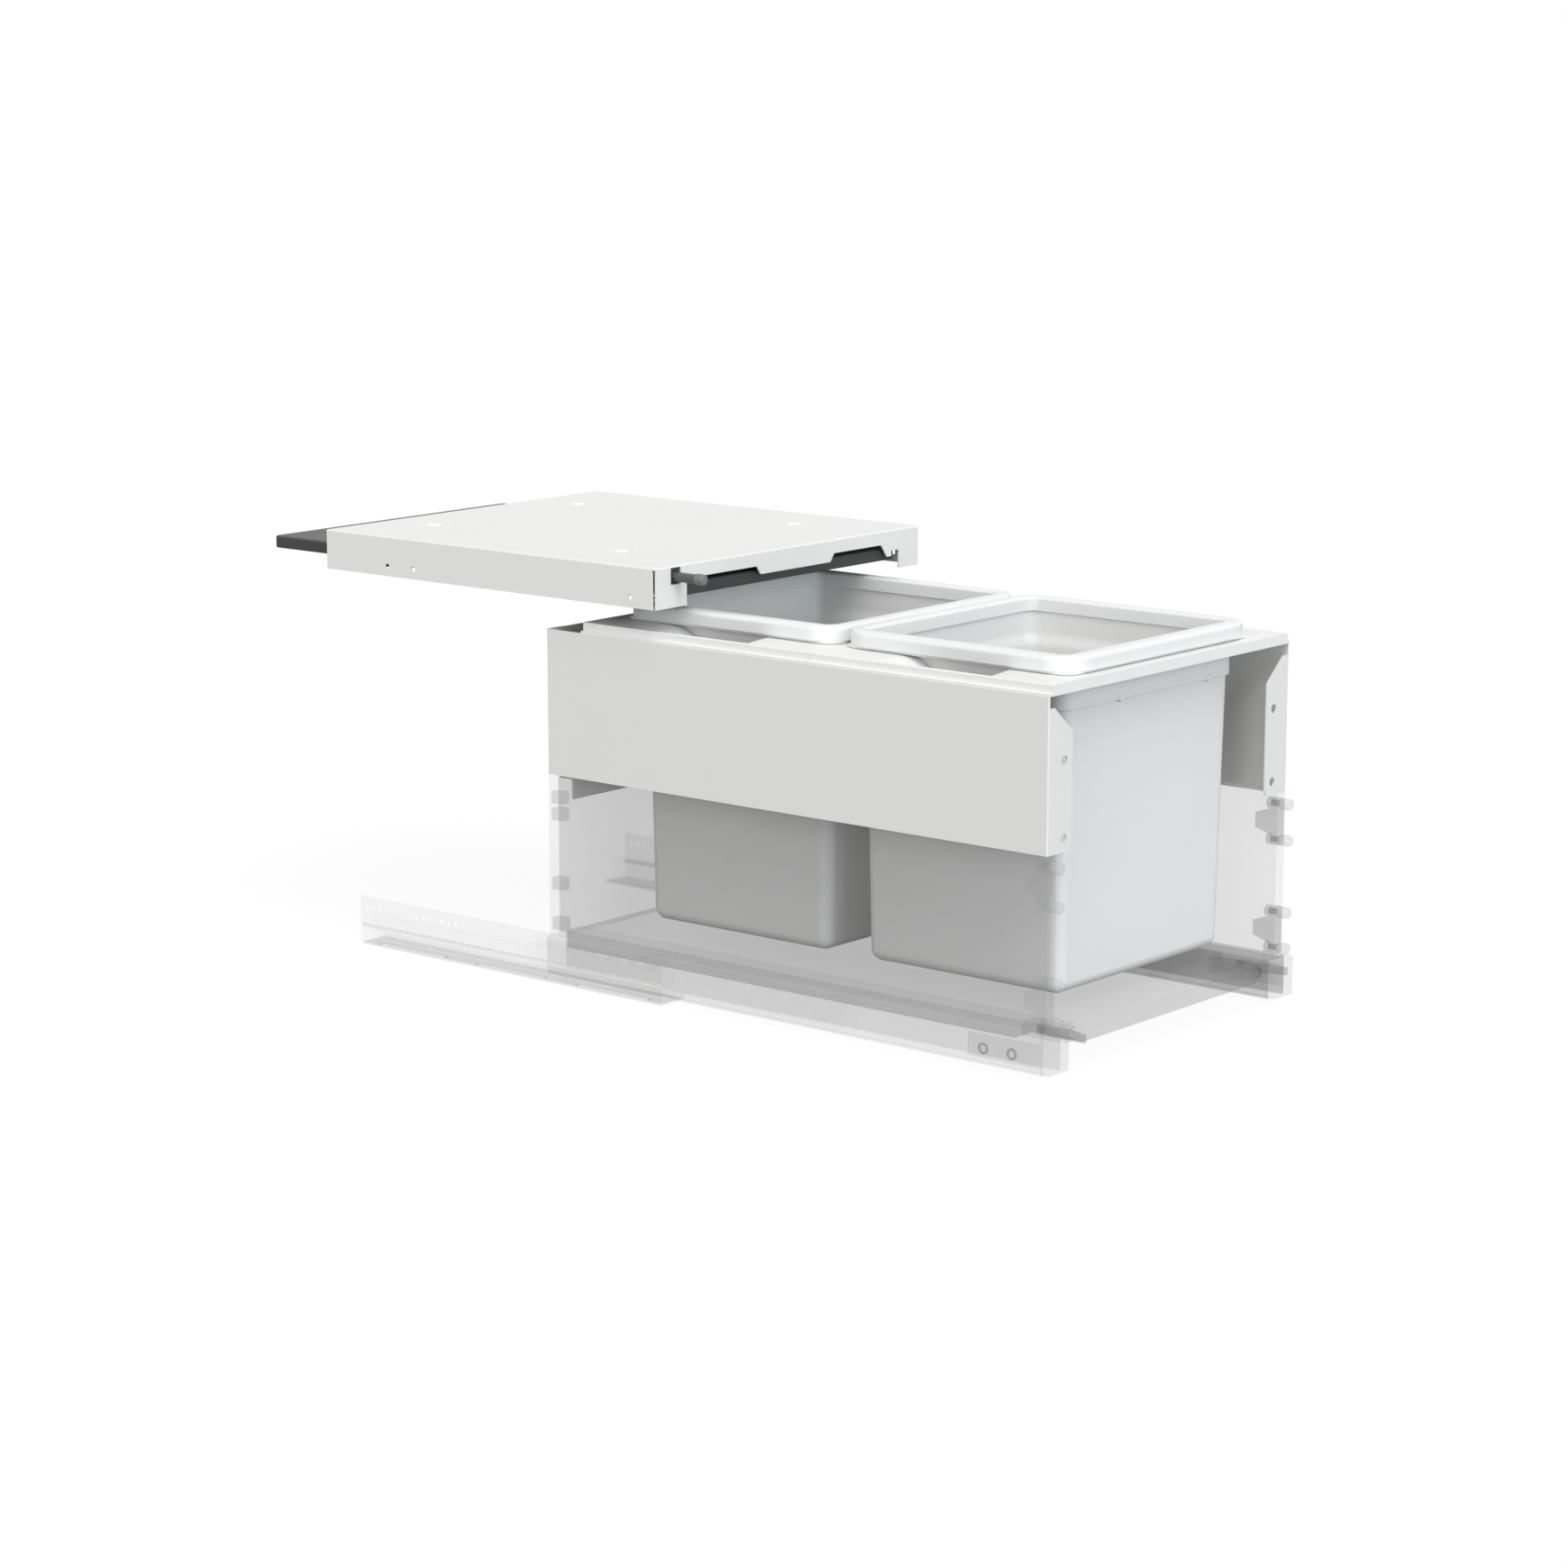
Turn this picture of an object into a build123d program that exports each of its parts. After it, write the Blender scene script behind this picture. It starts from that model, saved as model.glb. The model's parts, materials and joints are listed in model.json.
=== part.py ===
from build123d import *
import os

# Pull-out waste cabinet: a drawer with two bins on runners, white raised side panels and a top frame,
# under a fixed housing whose lid drops on the bins when the drawer is shut.
# The model is written with X across, Y from the drawer's front plane (0) to the rear, Z up from the
# runners' underside, with the drawer pulled out.  On export Y is shifted to the middle of the whole box.

# ------------------------------------------------------------------ driving sizes, mm
# Cabinet, drawer and travel
cabinet_inner_w = 368.0      # clear width between the cabinet's side walls
drawer_side_gap = 9.0        # cabinet wall to drawer side and white panel
drawer_depth = 545.0
pull_out = 400.0
closed_inset = 2.0           # closed drawer plane behind the cabinet's front edge
drawer_z = 41.0              # underside of the drawer sides
side_h = 146.0               # slim drawer side
side_t = 13.0                # slim drawer side over both skins
skin_t = 1.0
base_t = 16.0
base_front = -4.0            # the base board reaches into the front panel
base_notch_w = 24.0          # round the clip and its lever
base_notch_len = 46.0
base_ledge = 28.0            # inward foot of the drawer side, which the base hangs from
back_t = 16.0
back_drop = 5.0              # top of the back board below the top of the sides
fit_gap = 0.2                # boards and sheets between two walls
move_gap = 0.3               # pieces that move past one another

# Runners
rail_h = 45.0
rail_len = 370.0
rail_leg = 32.0
rail_t = 1.5
rail_set_back = 4.0          # rail behind the cabinet's front edge
drawer_rail_w = 26.0
drawer_rail_gap = 5.0        # cabinet wall to drawer rail
drawer_rail_foot = 6.0       # lower edge of the drawer rail
middle_rail_w = 16.0
middle_rail_foot = 4.5
rail_lip = 2.0
track_head_w = 8.0
track_stem_t = 2.0
roller_r = 3.0
roller_gap = 0.05
roller_pitch = 24.0
roller_count = 6
cage_t = 3.0
cage_len = 150.0
cage_side_gap = 1.0
lower_roller_len = 6.0
upper_roller_len = 12.0
pocket_gap = 0.3
upper_cage_lead = 94.0       # upper cage ahead of the middle rail's front end, towards the rear
bead_h = 4.0
bead_t = 0.8
bead_z = 15.0
rail_hole_r = 2.4
rail_hole_z = 35.2
rail_hole_pitch = 8.8        # inside a group of three
system_first = 37.0          # first hole line behind the cabinet's front edge
system_pitch = 32.0
rail_groups = (0, 1, 7, 8, 10)
leg_slot_w = 6.0
leg_slot_in = 2.0            # from the rail's web
leg_slot_len = 84.0
leg_slot_count = 3

# Front clip and release lever on each runner
cap_len = 8.0
cap_foot = 7.0
clip_plate_t = 1.5
clip_plate_y = (18.0, 74.0)
clip_plate_z = (12.0, 32.0)
clip_boss_y = (29.0, 58.0)
clip_boss_z = 20.0
clip_boss_r = 5.0
clip_boss_h = 0.8
clip_bore_r = 3.0
clip_block_w = 14.0
clip_block_len = 40.0
fork_t = 2.5
lever_t = 6.8
lever_pivot_y = 24.0
lever_r = 5.0
lever_pin_r = 2.5
lever_pin_gap = 0.1
lever_tip_y = -22.0
lever_tip_w = 3.0

# Front brackets, dowels and back connectors
dowel_r = 5.0
dowel_len = 11.0
dowel_round = 2.5
dowel_top = 10.0             # highest dowel below the top of the drawer side
dowel_pitch = 32.0
bracket_step = 96.0          # from the upper bracket to the lower one
spigot_r = 2.6
spigot_len = 9.0
spigot_gap = 0.1
bracket_w = 10.0
bracket_t = 6.0
bracket_boss_len = 12.0
tongue_len = 17.0
tongue_root = 24.0
tongue_tip = 13.0
connector_h = 11.0
connector_l = 12.0
connector_z = (166.0, 151.0, 88.0, 51.5)

# White sheet panels
sheet_t = 1.5
panel_h = 130.0
bend_r = 1.4
front_flange = 33.0
flange_top_gap = 10.0        # front flange ends this far below the panel's top
flange_notch = (8.0, 22.0)   # the chamfer on the flange's upper corner: start across, drop
flange_corner_r = 5.0
rear_flange = 20.0
foot_flange = 12.0
flange_hole_r = 4.0
flange_hole_in = 22.0        # from the panel's outer face
flange_hole_low = 11.5       # above the panel's lower edge
flange_hole_pitch = 64.0
rear_screw_low = 15.5
rear_screw_in = 10.0
rear_lip = 18.0
screw_head_r = 3.6
screw_head_h = 2.6
screw_round = 0.9
screw_r = 2.0
screw_len = 8.0
screw_gap = 0.1

# Top frame in two halves
frame_front = -1.0
frame_back_in = 40.0         # frame ends this far ahead of the drawer's rear
seam_shift = 0.5             # seam ahead of the middle between the rings
seam_gap = 0.3
frame_h = 9.3
frame_side_in = 4.0          # edge of the deck from the panel's outer face
frame_ledge_in = 0.5         # edge of the ledge from the panel's outer face
frame_ledge_t = 2.0
frame_t = 2.5
frame_wall = 2.0
deck_round = 1.0
frame_skirt = 5.0            # reaches down inside the side panels
frame_skirt_front = 27.0     # the skirt begins this far behind the drawer's front
collar_drop = 14.0
opening_gap = 2.0            # frame opening around the bin's band
recess_side_in = 7.5         # from the panel's outer face
recess_ahead = 66.0          # starts this far ahead of the bin's middle
recess_rear_shift = 12.0     # the rear pair starts this much later
recess_len = 123.0
recess_slant = 9.0
recess_depth = 26.0
scoop_len = 34.0
well_t = 1.5

# Bins and bag rings
ring_side_in = 40.0          # from the panel's outer face
ring_front_in = 9.0          # from the frame's front edge
ring_rear_in = 10.0          # from the frame's rear edge
ring_apart = 3.0
ring_h = 14.0
ring_r = 30.0
ring_band = 16.0             # seen width of the ring's top
ring_wall = 2.5
ring_skirt_t = 1.5
ring_skirt = 23.0            # inner skirt below the ring's top
ring_gap = 0.4
ring_round = 3.5
ring_inner_round = 1.4
ring_lift_gap = 1.7          # ring above the frame
bin_wall = 2.0
bin_clear = 0.3              # flange over the frame, rim under the ring
bin_over_base = 15.0         # the bins hang from the frame
band_h = 31.0                # band under the frame top
band_step = 3.0
bin_taper_w = 2.0            # each side, top to bottom
bin_taper_d = 5.0
bin_corner_r = 14.0
bin_foot_r = 10.0
bin_flange_t = 2.2
nub_r = 2.8
nub_x = 44.0
nub_up = 1.5                 # above the band's lower edge

# Lid housing
housing_h = 36.0
housing_over_ring = 5.0
housing_depth = 400.0
housing_set_back = 8.0       # behind the cabinet's front edge
housing_side_gap = 0.3
slit_w = 1.8
tab_w = 41.5
cutout_top = 23.5            # above the housing's lower edge
lip_low = 16.0
lip_left = 141.0             # from the housing's left face, as the tab is
lip_right = 129.4            # from its right face, as the teeth are
cutout_slope = 5.5
tooth_low = 12.0
tooth_at = (46.9, 40.9)
tooth_slope = 8.8
tooth_notch = 17.0
right_tab_w = 30.0
notch_gap = 2.2              # round the push rod in the left tab
housing_hole_r = 2.5
housing_hole_z = 9.0
housing_hole_in = (29.0, 290.0, 322.5)    # behind the housing's front
dish_r = 9.0
dish_foot_r = 4.6
dish_depth = 3.5
dish_hole_r = 2.6
dish_in = (64.2, 85.7)       # from the housing's side: front pair, rear pair
pin_in = (95.0, 345.0)       # behind the housing's front: dishes, guides and pins
mark_r = 1.6
mark_depth = 0.5
mark_reach = 19.0
locator_r = 2.0
locator_at = (4.0, 17.0)     # from the middle and the front
dish_screw_head_r = 4.2
dish_screw_head_h = 1.8
dish_screw_r = 2.4
dish_screw_len = 10.0
socket_w = 2.4

# Lid, push rod and slide bars
lid_side_in = 28.7           # from the housing's side
lid_front_in = 6.0           # behind the housing's front
lid_len = 494.0
lid_h = 11.5
lid_top_t = 2.5
lid_wall = 2.5
lid_corner_r = 4.0
lid_round = 1.8
lid_gap_over_ring = 12.5
lid_rib_t = 2.0
seal_t = 3.0
lid_drop = 12.0
rod_stroke = 24.0
rod_r = 4.3
rod_side_in = 27.2           # from the housing's side
rod_under_top = 9.6          # below the housing's top
rod_ahead = 29.0             # ahead of the housing's front
rod_behind = 45.0
buffer_r = 4.9
buffer_round = 2.0
buffer_ahead = 33.0
buffer_len = 9.0
bar_t = 2.0
bar_behind = (31.0, 369.0)   # behind the housing's front
bar_foot = 4.6               # below the lowest place of the pins
bar_tab_behind = 55.0
bar_tab_h = 2.5
lid_pin_r = 3.0
lid_pin_up = 3.0             # over the lid's top
lid_pin_gap = 0.15
lid_pin_len = 16.0
ear_t = 2.0
ear_w = 16.0
ear_gap = 1.5                # slide bar's inner face to the ear
cross_rod_r = 3.5
cross_tenon_r = 2.5
cross_rod_behind = 361.5
cross_rod_up = 4.0           # over the lid's top
guide_w = 14.0
guide_leg = 13.0
guide_arm_t = 5.5
guide_pad_r = 12.0
guide_pad_t = 11.0
bush_w = 19.0
bush_len = 13.0
bush_drop = 6.4              # below the rod's middle
rod_run_gap = 0.08

# ------------------------------------------------------------------ places worked out from them
half_cabinet = cabinet_inner_w / 2
half_drawer = half_cabinet - drawer_side_gap
cabinet_front = pull_out + closed_inset
side_top = drawer_z + side_h
panel_top = side_top + panel_h
frame_top = panel_top + frame_h
ring_low = frame_top + ring_lift_gap
ring_top = ring_low + ring_h
base_top = drawer_z
bin_floor = base_top + bin_over_base
back_top = side_top - back_drop
lid_low = ring_top + lid_gap_over_ring
lid_top = lid_low + lid_h
housing_z = ring_top + housing_over_ring
housing_top = housing_z + housing_h
housing_front = cabinet_front + housing_set_back
housing_rear = housing_front + housing_depth
half_housing = half_cabinet - housing_side_gap
housing_hole_y = [housing_front + behind for behind in housing_hole_in]
dish_x = [half_housing - inset for inset in dish_in]
pin_y = [housing_front + behind for behind in pin_in]
lid_x = half_housing - lid_side_in             # half width
lid_front = housing_front + lid_front_in
lid_rear = lid_front + lid_len
lid_rib_x = (-lid_x / 2, 0, lid_x / 2)
lid_pin_z = lid_top + lid_pin_up
rod_x = half_housing - rod_side_in
rod_z = housing_top - rod_under_top
rod_front = housing_front - rod_ahead
rod_rear = housing_front + rod_behind
buffer_front = housing_front - buffer_ahead
buffer_rear = buffer_front + buffer_len
bar_front, bar_rear = [housing_front + behind for behind in bar_behind]
bar_low = lid_pin_z - lid_drop - bar_foot
bar_tab_rear = housing_front + bar_tab_behind
bar_tab_top = rod_z + bar_tab_h
cross_rod_y = housing_front + cross_rod_behind
cross_rod_z = lid_top + cross_rod_up
hollow_x = half_drawer - side_t / 2            # middle of the hollow drawer side
rail_x = half_cabinet - drawer_rail_gap - drawer_rail_w / 2
rail_front = cabinet_front + rail_set_back
upper_roller_z = drawer_z - rail_t - roller_gap - roller_r
middle_top = upper_roller_z - roller_r - roller_gap
lower_roller_z = middle_top - rail_t - roller_gap - roller_r
track_top = lower_roller_z - roller_r - roller_gap
middle_front = rail_front - pull_out / 2
frame_half_w = half_drawer - frame_side_in
frame_rear = drawer_depth - frame_back_in
recess_outer = half_drawer - recess_side_in
ring_w = 2 * (half_drawer - ring_side_in)
ring_d = (frame_rear - frame_front - ring_front_in - ring_rear_in - ring_apart) / 2
front_bin_y = frame_front + ring_front_in + ring_d / 2
band_w = ring_w - 2 * (ring_band - ring_skirt_t - ring_gap - bin_wall)
band_d = ring_d - 2 * (ring_band - ring_skirt_t - ring_gap - bin_wall)
rear_bin_y = front_bin_y + ring_d + ring_apart
frame_seam = (front_bin_y + rear_bin_y) / 2 - seam_shift
centre_y = (lever_tip_y + lid_rear) / 2        # middle of the whole box


# ------------------------------------------------------------------ helpers
def block(x, y, z):
    """Block between two limits on each axis."""
    size = [abs(limit[1] - limit[0]) for limit in (x, y, z)]
    middle = [(limit[0] + limit[1]) / 2 for limit in (x, y, z)]
    return Pos(*middle) * Box(*size)


def bar_x(x, y, z, radius):
    """Round bar along X between two X limits."""
    return Pos((x[0] + x[1]) / 2, y, z) * Rot(0, 90, 0) * Cylinder(radius, abs(x[1] - x[0]))


def bar_y(x, y, z, radius):
    """Round bar along Y between two Y limits."""
    return Pos(x, (y[0] + y[1]) / 2, z) * Rot(90, 0, 0) * Cylinder(radius, abs(y[1] - y[0]))


def bar_z(x, y, z, radius):
    """Round bar along Z between two Z limits."""
    return Pos(x, y, (z[0] + z[1]) / 2) * Cylinder(radius, abs(z[1] - z[0]))


def rounded(width, depth, radius, y, z):
    """Upright prism with rounded corners, centred on X = 0 and the given Y, between two Z limits."""
    return Pos(0, y, z[0]) * extrude(RectangleRounded(width, depth, radius), amount=z[1] - z[0])


def plate_x(points, x):
    """Flat plate in the YZ plane from its outline, between two X limits."""
    outline = make_face(Polyline(*[(x[0], y, z) for y, z in points], close=True))
    return extrude(outline, amount=x[1] - x[0], dir=(1, 0, 0))


def plate_y(points, y):
    """Flat plate in the XZ plane from its outline, between two Y limits."""
    outline = make_face(Polyline(*[(x, y[0], z) for x, z in points], close=True))
    return extrude(outline, amount=y[1] - y[0], dir=(0, 1, 0))


def plate_z(points, z):
    """Flat plate in the XY plane from its outline, between two Z limits."""
    outline = make_face(Polyline(*[(x, y, z[0]) for x, y in points], close=True))
    return extrude(outline, amount=z[1] - z[0], dir=(0, 0, 1))


def slot_x(start, end, radius, x):
    """Slot tool along X: a band with round ends between two points of the YZ plane."""
    (y0, z0), (y1, z1) = start, end
    length = ((y1 - y0) ** 2 + (z1 - z0) ** 2) ** 0.5
    across = (-(z1 - z0) / length * radius, (y1 - y0) / length * radius)
    corners = [
        (y0 + across[0], z0 + across[1]),
        (y1 + across[0], z1 + across[1]),
        (y1 - across[0], z1 - across[1]),
        (y0 - across[0], z0 - across[1]),
    ]
    return plate_x(corners, x) + bar_x(x, y0, z0, radius) + bar_x(x, y1, z1, radius)


def right_of(shape):
    """The right-hand twin of a left-hand piece."""
    return mirror(shape, about=Plane.YZ)


def export(name, shape):
    """Write one piece, with Y shifted to the middle of the whole box."""
    solids = Compound(children=[Pos(0, -centre_y, 0) * solid for solid in shape.solids()])
    export_step(solids if len(solids.solids()) > 1 else solids.solids()[0], f"parts/{name}.step")


def export_pair(name, shape):
    """Write the left-hand piece and its right-hand twin."""
    export(f"left_{name}", shape)
    export(f"right_{name}", right_of(shape))


# ------------------------------------------------------------------ runners (left hand)
def cabinet_rail():
    """L-shaped rail on the cabinet wall, with the upright track that the middle rail runs on."""
    y = (rail_front, rail_front + rail_len)
    wall = -half_cabinet
    rail = block((wall, wall + rail_t), y, (0, rail_h))
    rail += block((wall, wall + rail_leg), y, (0, rail_t))
    rail += block((wall + rail_leg - rail_t, wall + rail_leg), y, (0, middle_rail_foot))
    rail += block((wall + rail_t, wall + rail_t + bead_t), y, (bead_z, bead_z + bead_h))
    rail += block((-rail_x - track_stem_t / 2, -rail_x + track_stem_t / 2), y, (0, track_top))
    head_x = (-rail_x - track_head_w / 2, -rail_x + track_head_w / 2)
    rail += block(head_x, y, (track_top - rail_t, track_top))
    for group in rail_groups:
        middle = cabinet_front + system_first + system_pitch * group
        for step in (-1, 0, 1):
            rail -= bar_x(
                (wall - 1, wall + rail_t + 1), middle + step * rail_hole_pitch, rail_hole_z, rail_hole_r
            )
    for n in range(leg_slot_count):
        middle = rail_front + rail_len * (n + 0.5) / leg_slot_count
        rail -= block(
            (wall + rail_t + leg_slot_in, wall + rail_t + leg_slot_in + leg_slot_w),
            (middle - leg_slot_len / 2, middle + leg_slot_len / 2),
            (-1, rail_t + 1),
        )
    return rail


def channel(width, y, foot, top):
    """Downward channel with inward lips along its lower edges, on the runner's centre line."""
    x = (-rail_x - width / 2, -rail_x + width / 2)
    hollow = block((x[0] + rail_t, x[1] - rail_t), y, (foot + rail_t, top - rail_t))
    mouth = block((x[0] + rail_t + rail_lip, x[1] - rail_t - rail_lip), y, (foot, foot + rail_t))
    return block(x, y, (foot, top)) - hollow - mouth


def roller_cage(width, roller_len, y0, z):
    """Plastic strip with pockets, and a steel roller in each pocket."""
    x = (-rail_x - width / 2, -rail_x + width / 2)
    strip = block(x, (y0, y0 + cage_len), (z - cage_t / 2, z + cage_t / 2))
    rollers = []
    first = y0 + (cage_len - roller_pitch * (roller_count - 1)) / 2
    for n in range(roller_count):
        y = first + n * roller_pitch
        half = roller_len / 2
        pocket = (-rail_x - half - pocket_gap, -rail_x + half + pocket_gap)
        strip -= bar_x(pocket, y, z, roller_r + pocket_gap)
        rollers.append(bar_x((-rail_x - half, -rail_x + half), y, z, roller_r))
    return Compound(children=[*strip.solids(), *[r.solids()[0] for r in rollers]])


def lower_cage():
    """Rollers between the cabinet rail's track and the middle rail."""
    width = middle_rail_w - 2 * rail_t - 2 * cage_side_gap
    middle = rail_front + rail_len / 2 - pull_out / 4
    return roller_cage(width, lower_roller_len, middle - cage_len / 2, lower_roller_z)


def upper_cage():
    """Rollers between the middle rail and the drawer rail."""
    width = drawer_rail_w - 2 * rail_t - 2 * rail_lip - cage_side_gap
    return roller_cage(width, upper_roller_len, middle_front + upper_cage_lead, upper_roller_z)


def front_clip():
    """Moulded clip round the front end of the drawer rail: end cap, outer plate and lever fork."""
    x_out = -rail_x - drawer_rail_w / 2
    x_in = -rail_x + drawer_rail_w / 2
    clip = block((x_out - clip_plate_t, x_in), (-cap_len, 0), (cap_foot, drawer_z))
    clip += block((x_out - clip_plate_t, x_out), (-cap_len, clip_plate_y[1]), clip_plate_z)
    for y in clip_boss_y:
        x = x_out - clip_plate_t
        clip += bar_x((x - clip_boss_h, x), y, clip_boss_z, clip_boss_r)
        clip -= bar_x((x - clip_boss_h - 1, x - clip_boss_h + 1), y, clip_boss_z, clip_bore_r)
    fork_x = (x_in, x_in + clip_block_w)
    fork_y = (-cap_len / 2, clip_block_len)
    low = drawer_z - 2 * fork_t - lever_t - 2 * move_gap
    clip += block(fork_x, fork_y, (drawer_z - fork_t, drawer_z))
    clip += block(fork_x, fork_y, (low, low + fork_t))
    clip += block((x_in, x_in + clip_block_w), (clip_block_len - fork_t, clip_block_len), (low, drawer_z))
    clip += bar_z(x_in + clip_block_w / 2, lever_pivot_y, (low, drawer_z), lever_pin_r)
    return clip


def release_lever():
    """Pointed lever that turns on the clip's pin."""
    x = -rail_x + drawer_rail_w / 2 + clip_block_w / 2
    top = drawer_z - fork_t - move_gap
    z = (top - lever_t, top)
    outline = [
        (x - lever_r, lever_pivot_y),
        (x + lever_r, lever_pivot_y),
        (x + lever_r, 0),
        (x - lever_r + lever_tip_w, lever_tip_y),
        (x - lever_r, lever_tip_y),
    ]
    lever = plate_z(outline, z) + bar_z(x, lever_pivot_y, z, lever_r)
    return lever - bar_z(x, lever_pivot_y, (z[0] - 1, z[1] + 1), lever_pin_r + lever_pin_gap)


# ------------------------------------------------------------------ drawer box
def drawer_side():
    """Slim double-skinned side, hollow, with a foot that the base hangs from."""
    x = (-half_drawer, -half_drawer + side_t)
    y = (0, drawer_depth)
    side = block(x, y, (drawer_z, side_top))
    side -= block((x[0] + skin_t, x[1] - skin_t), y, (drawer_z, side_top - skin_t))
    return side + block((x[1] - skin_t, x[1] + base_ledge), y, (drawer_z, drawer_z + skin_t))


def dowel_heights():
    """Heights of the dowels: an upper and a lower pair."""
    top = side_top - dowel_top
    return [(top - start, top - start - dowel_pitch) for start in (0, bracket_step)]


def front_bracket(heights):
    """Bracket inside the drawer side, with two dowel bosses and a tongue between them."""
    high, low = heights
    x = (-hollow_x - bracket_w / 2, -hollow_x + bracket_w / 2)
    middle = (high + low) / 2
    outline = [
        (0, high + dowel_r - 1),
        (0, low - dowel_r + 1),
        (bracket_t, low - dowel_r + 1),
        (bracket_t, middle - tongue_root / 2),
        (bracket_t + tongue_len, middle - tongue_tip / 2),
        (bracket_t + tongue_len, middle + tongue_tip / 2),
        (bracket_t, middle + tongue_root / 2),
        (bracket_t, high + dowel_r - 1),
    ]
    bracket = plate_x(outline, x)
    for z in heights:
        bracket += bar_y(-hollow_x, (0, bracket_boss_len), z, dowel_r)
        bracket -= bar_y(-hollow_x, (-1, spigot_len + spigot_gap), z, spigot_r + spigot_gap)
    return bracket


def front_dowels():
    """Four dowels that stand out of the brackets into the front panel."""
    dowels = []
    for z in [z for pair in dowel_heights() for z in pair]:
        body = bar_y(-hollow_x, (-dowel_len, 0), z, dowel_r)
        body = fillet(body.faces().sort_by(Axis.Y)[0].edges(), dowel_round)
        dowels.append(body + bar_y(-hollow_x, (0, spigot_len), z, spigot_r))
    return Compound(children=[d.solids()[0] for d in dowels])


def back_connectors():
    """Four blocks in the hollow side that the back board is screwed to."""
    x = (-hollow_x - bracket_w / 2, -hollow_x + bracket_w / 2)
    y = (drawer_depth - (back_t + connector_l) / 2, drawer_depth - (back_t - connector_l) / 2)
    blocks = [block(x, y, (z - connector_h / 2, z + connector_h / 2)) for z in connector_z]
    return Compound(children=[b.solids()[0] for b in blocks])


def drawer_base():
    """Base board between the runners, screwed up to the feet of the sides, notched round the clips."""
    half = rail_x - drawer_rail_w / 2 - move_gap
    z = (base_top - base_t, base_top)
    base = block((-half, half), (base_front, drawer_depth), z)
    for side in (-1, 1):
        notch_x = (side * (half + 1), side * (half - base_notch_w))
        base -= block(notch_x, (base_front - 1, base_notch_len), (z[0] - 1, z[1] + 1))
    return base


def drawer_back():
    """Back board between the sides."""
    half = half_drawer - side_t - fit_gap
    return block((-half, half), (drawer_depth - back_t, drawer_depth), (drawer_z + skin_t, back_top))


# ------------------------------------------------------------------ white sheet panels
def side_panel():
    """Raised side panel of folded sheet, with flanges at the front, rear and foot."""
    x0 = -half_drawer
    panel = block((x0, x0 + sheet_t), (0, drawer_depth), (side_top, panel_top))
    panel += block((x0, x0 + rear_flange), (drawer_depth - sheet_t, drawer_depth), (side_top, panel_top))
    panel += block((x0, x0 + foot_flange), (0, drawer_depth), (side_top, side_top + sheet_t))
    flange_top = panel_top - flange_top_gap
    outline = [
        (x0, side_top),
        (x0 + front_flange, side_top),
        (x0 + front_flange, flange_top - flange_notch[1]),
        (x0 + flange_notch[0], flange_top),
        (x0, flange_top),
    ]
    flange = plate_y(outline, (0, sheet_t))
    corner = flange.edges().filter_by(Axis.Y).sort_by(lambda e: e.center().X - e.center().Z)[-1]
    panel += fillet(corner, flange_corner_r)
    upright = panel.edges().filter_by(Axis.Z)
    bends = [e for e in upright if abs(e.center().X - x0) < 0.01 and e.length > panel_h / 2]
    panel = fillet(bends, bend_r)
    for z in flange_hole_heights():
        panel -= bar_y(x0 + flange_hole_in, (-1, sheet_t + 1), z, flange_hole_r)
    through = (drawer_depth - sheet_t - 1, drawer_depth + 1)
    for z in rear_screw_heights():
        panel -= bar_y(x0 + rear_screw_in, through, z, screw_r + screw_gap)
    return panel


def flange_hole_heights():
    """Heights of the holes in the front flange."""
    low = side_top + flange_hole_low
    return (low, low + flange_hole_pitch)


def rear_screw_heights():
    """Heights of the screws through the rear flange."""
    low = side_top + rear_screw_low
    return (low, low + flange_hole_pitch)


def rear_panel():
    """Sheet across the rear, with a shelf on the back board and a lip down its inner face."""
    face = (drawer_depth - 2 * sheet_t, drawer_depth - sheet_t)
    wide = half_drawer - sheet_t - fit_gap
    narrow = half_drawer - side_t - fit_gap
    front = drawer_depth - back_t - sheet_t
    panel = block((-wide, wide), face, (side_top + sheet_t + fit_gap, panel_top))
    panel += block((-narrow, narrow), face, (back_top, panel_top))
    panel += block((-narrow, narrow), (front, face[1]), (back_top, back_top + sheet_t))
    panel += block((-narrow, narrow), (front, front + sheet_t), (back_top - rear_lip, back_top + sheet_t))
    for side in (-1, 1):
        for z in rear_screw_heights():
            x = side * (half_drawer - rear_screw_in)
            panel -= bar_y(x, (face[0] - 1, face[1] + 1), z, screw_r + screw_gap)
    return panel


def rear_screws():
    """Four screws that hold the rear panel to the side panels' flanges."""
    screws = []
    for side in (-1, 1):
        for z in rear_screw_heights():
            x = side * (half_drawer - rear_screw_in)
            head = bar_y(x, (drawer_depth, drawer_depth + screw_head_h), z, screw_head_r)
            head = fillet(head.faces().sort_by(Axis.Y)[-1].edges(), screw_round)
            screws.append(head + bar_y(x, (drawer_depth - screw_len, drawer_depth), z, screw_r))
    return Compound(children=[s.solids()[0] for s in screws])


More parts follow.
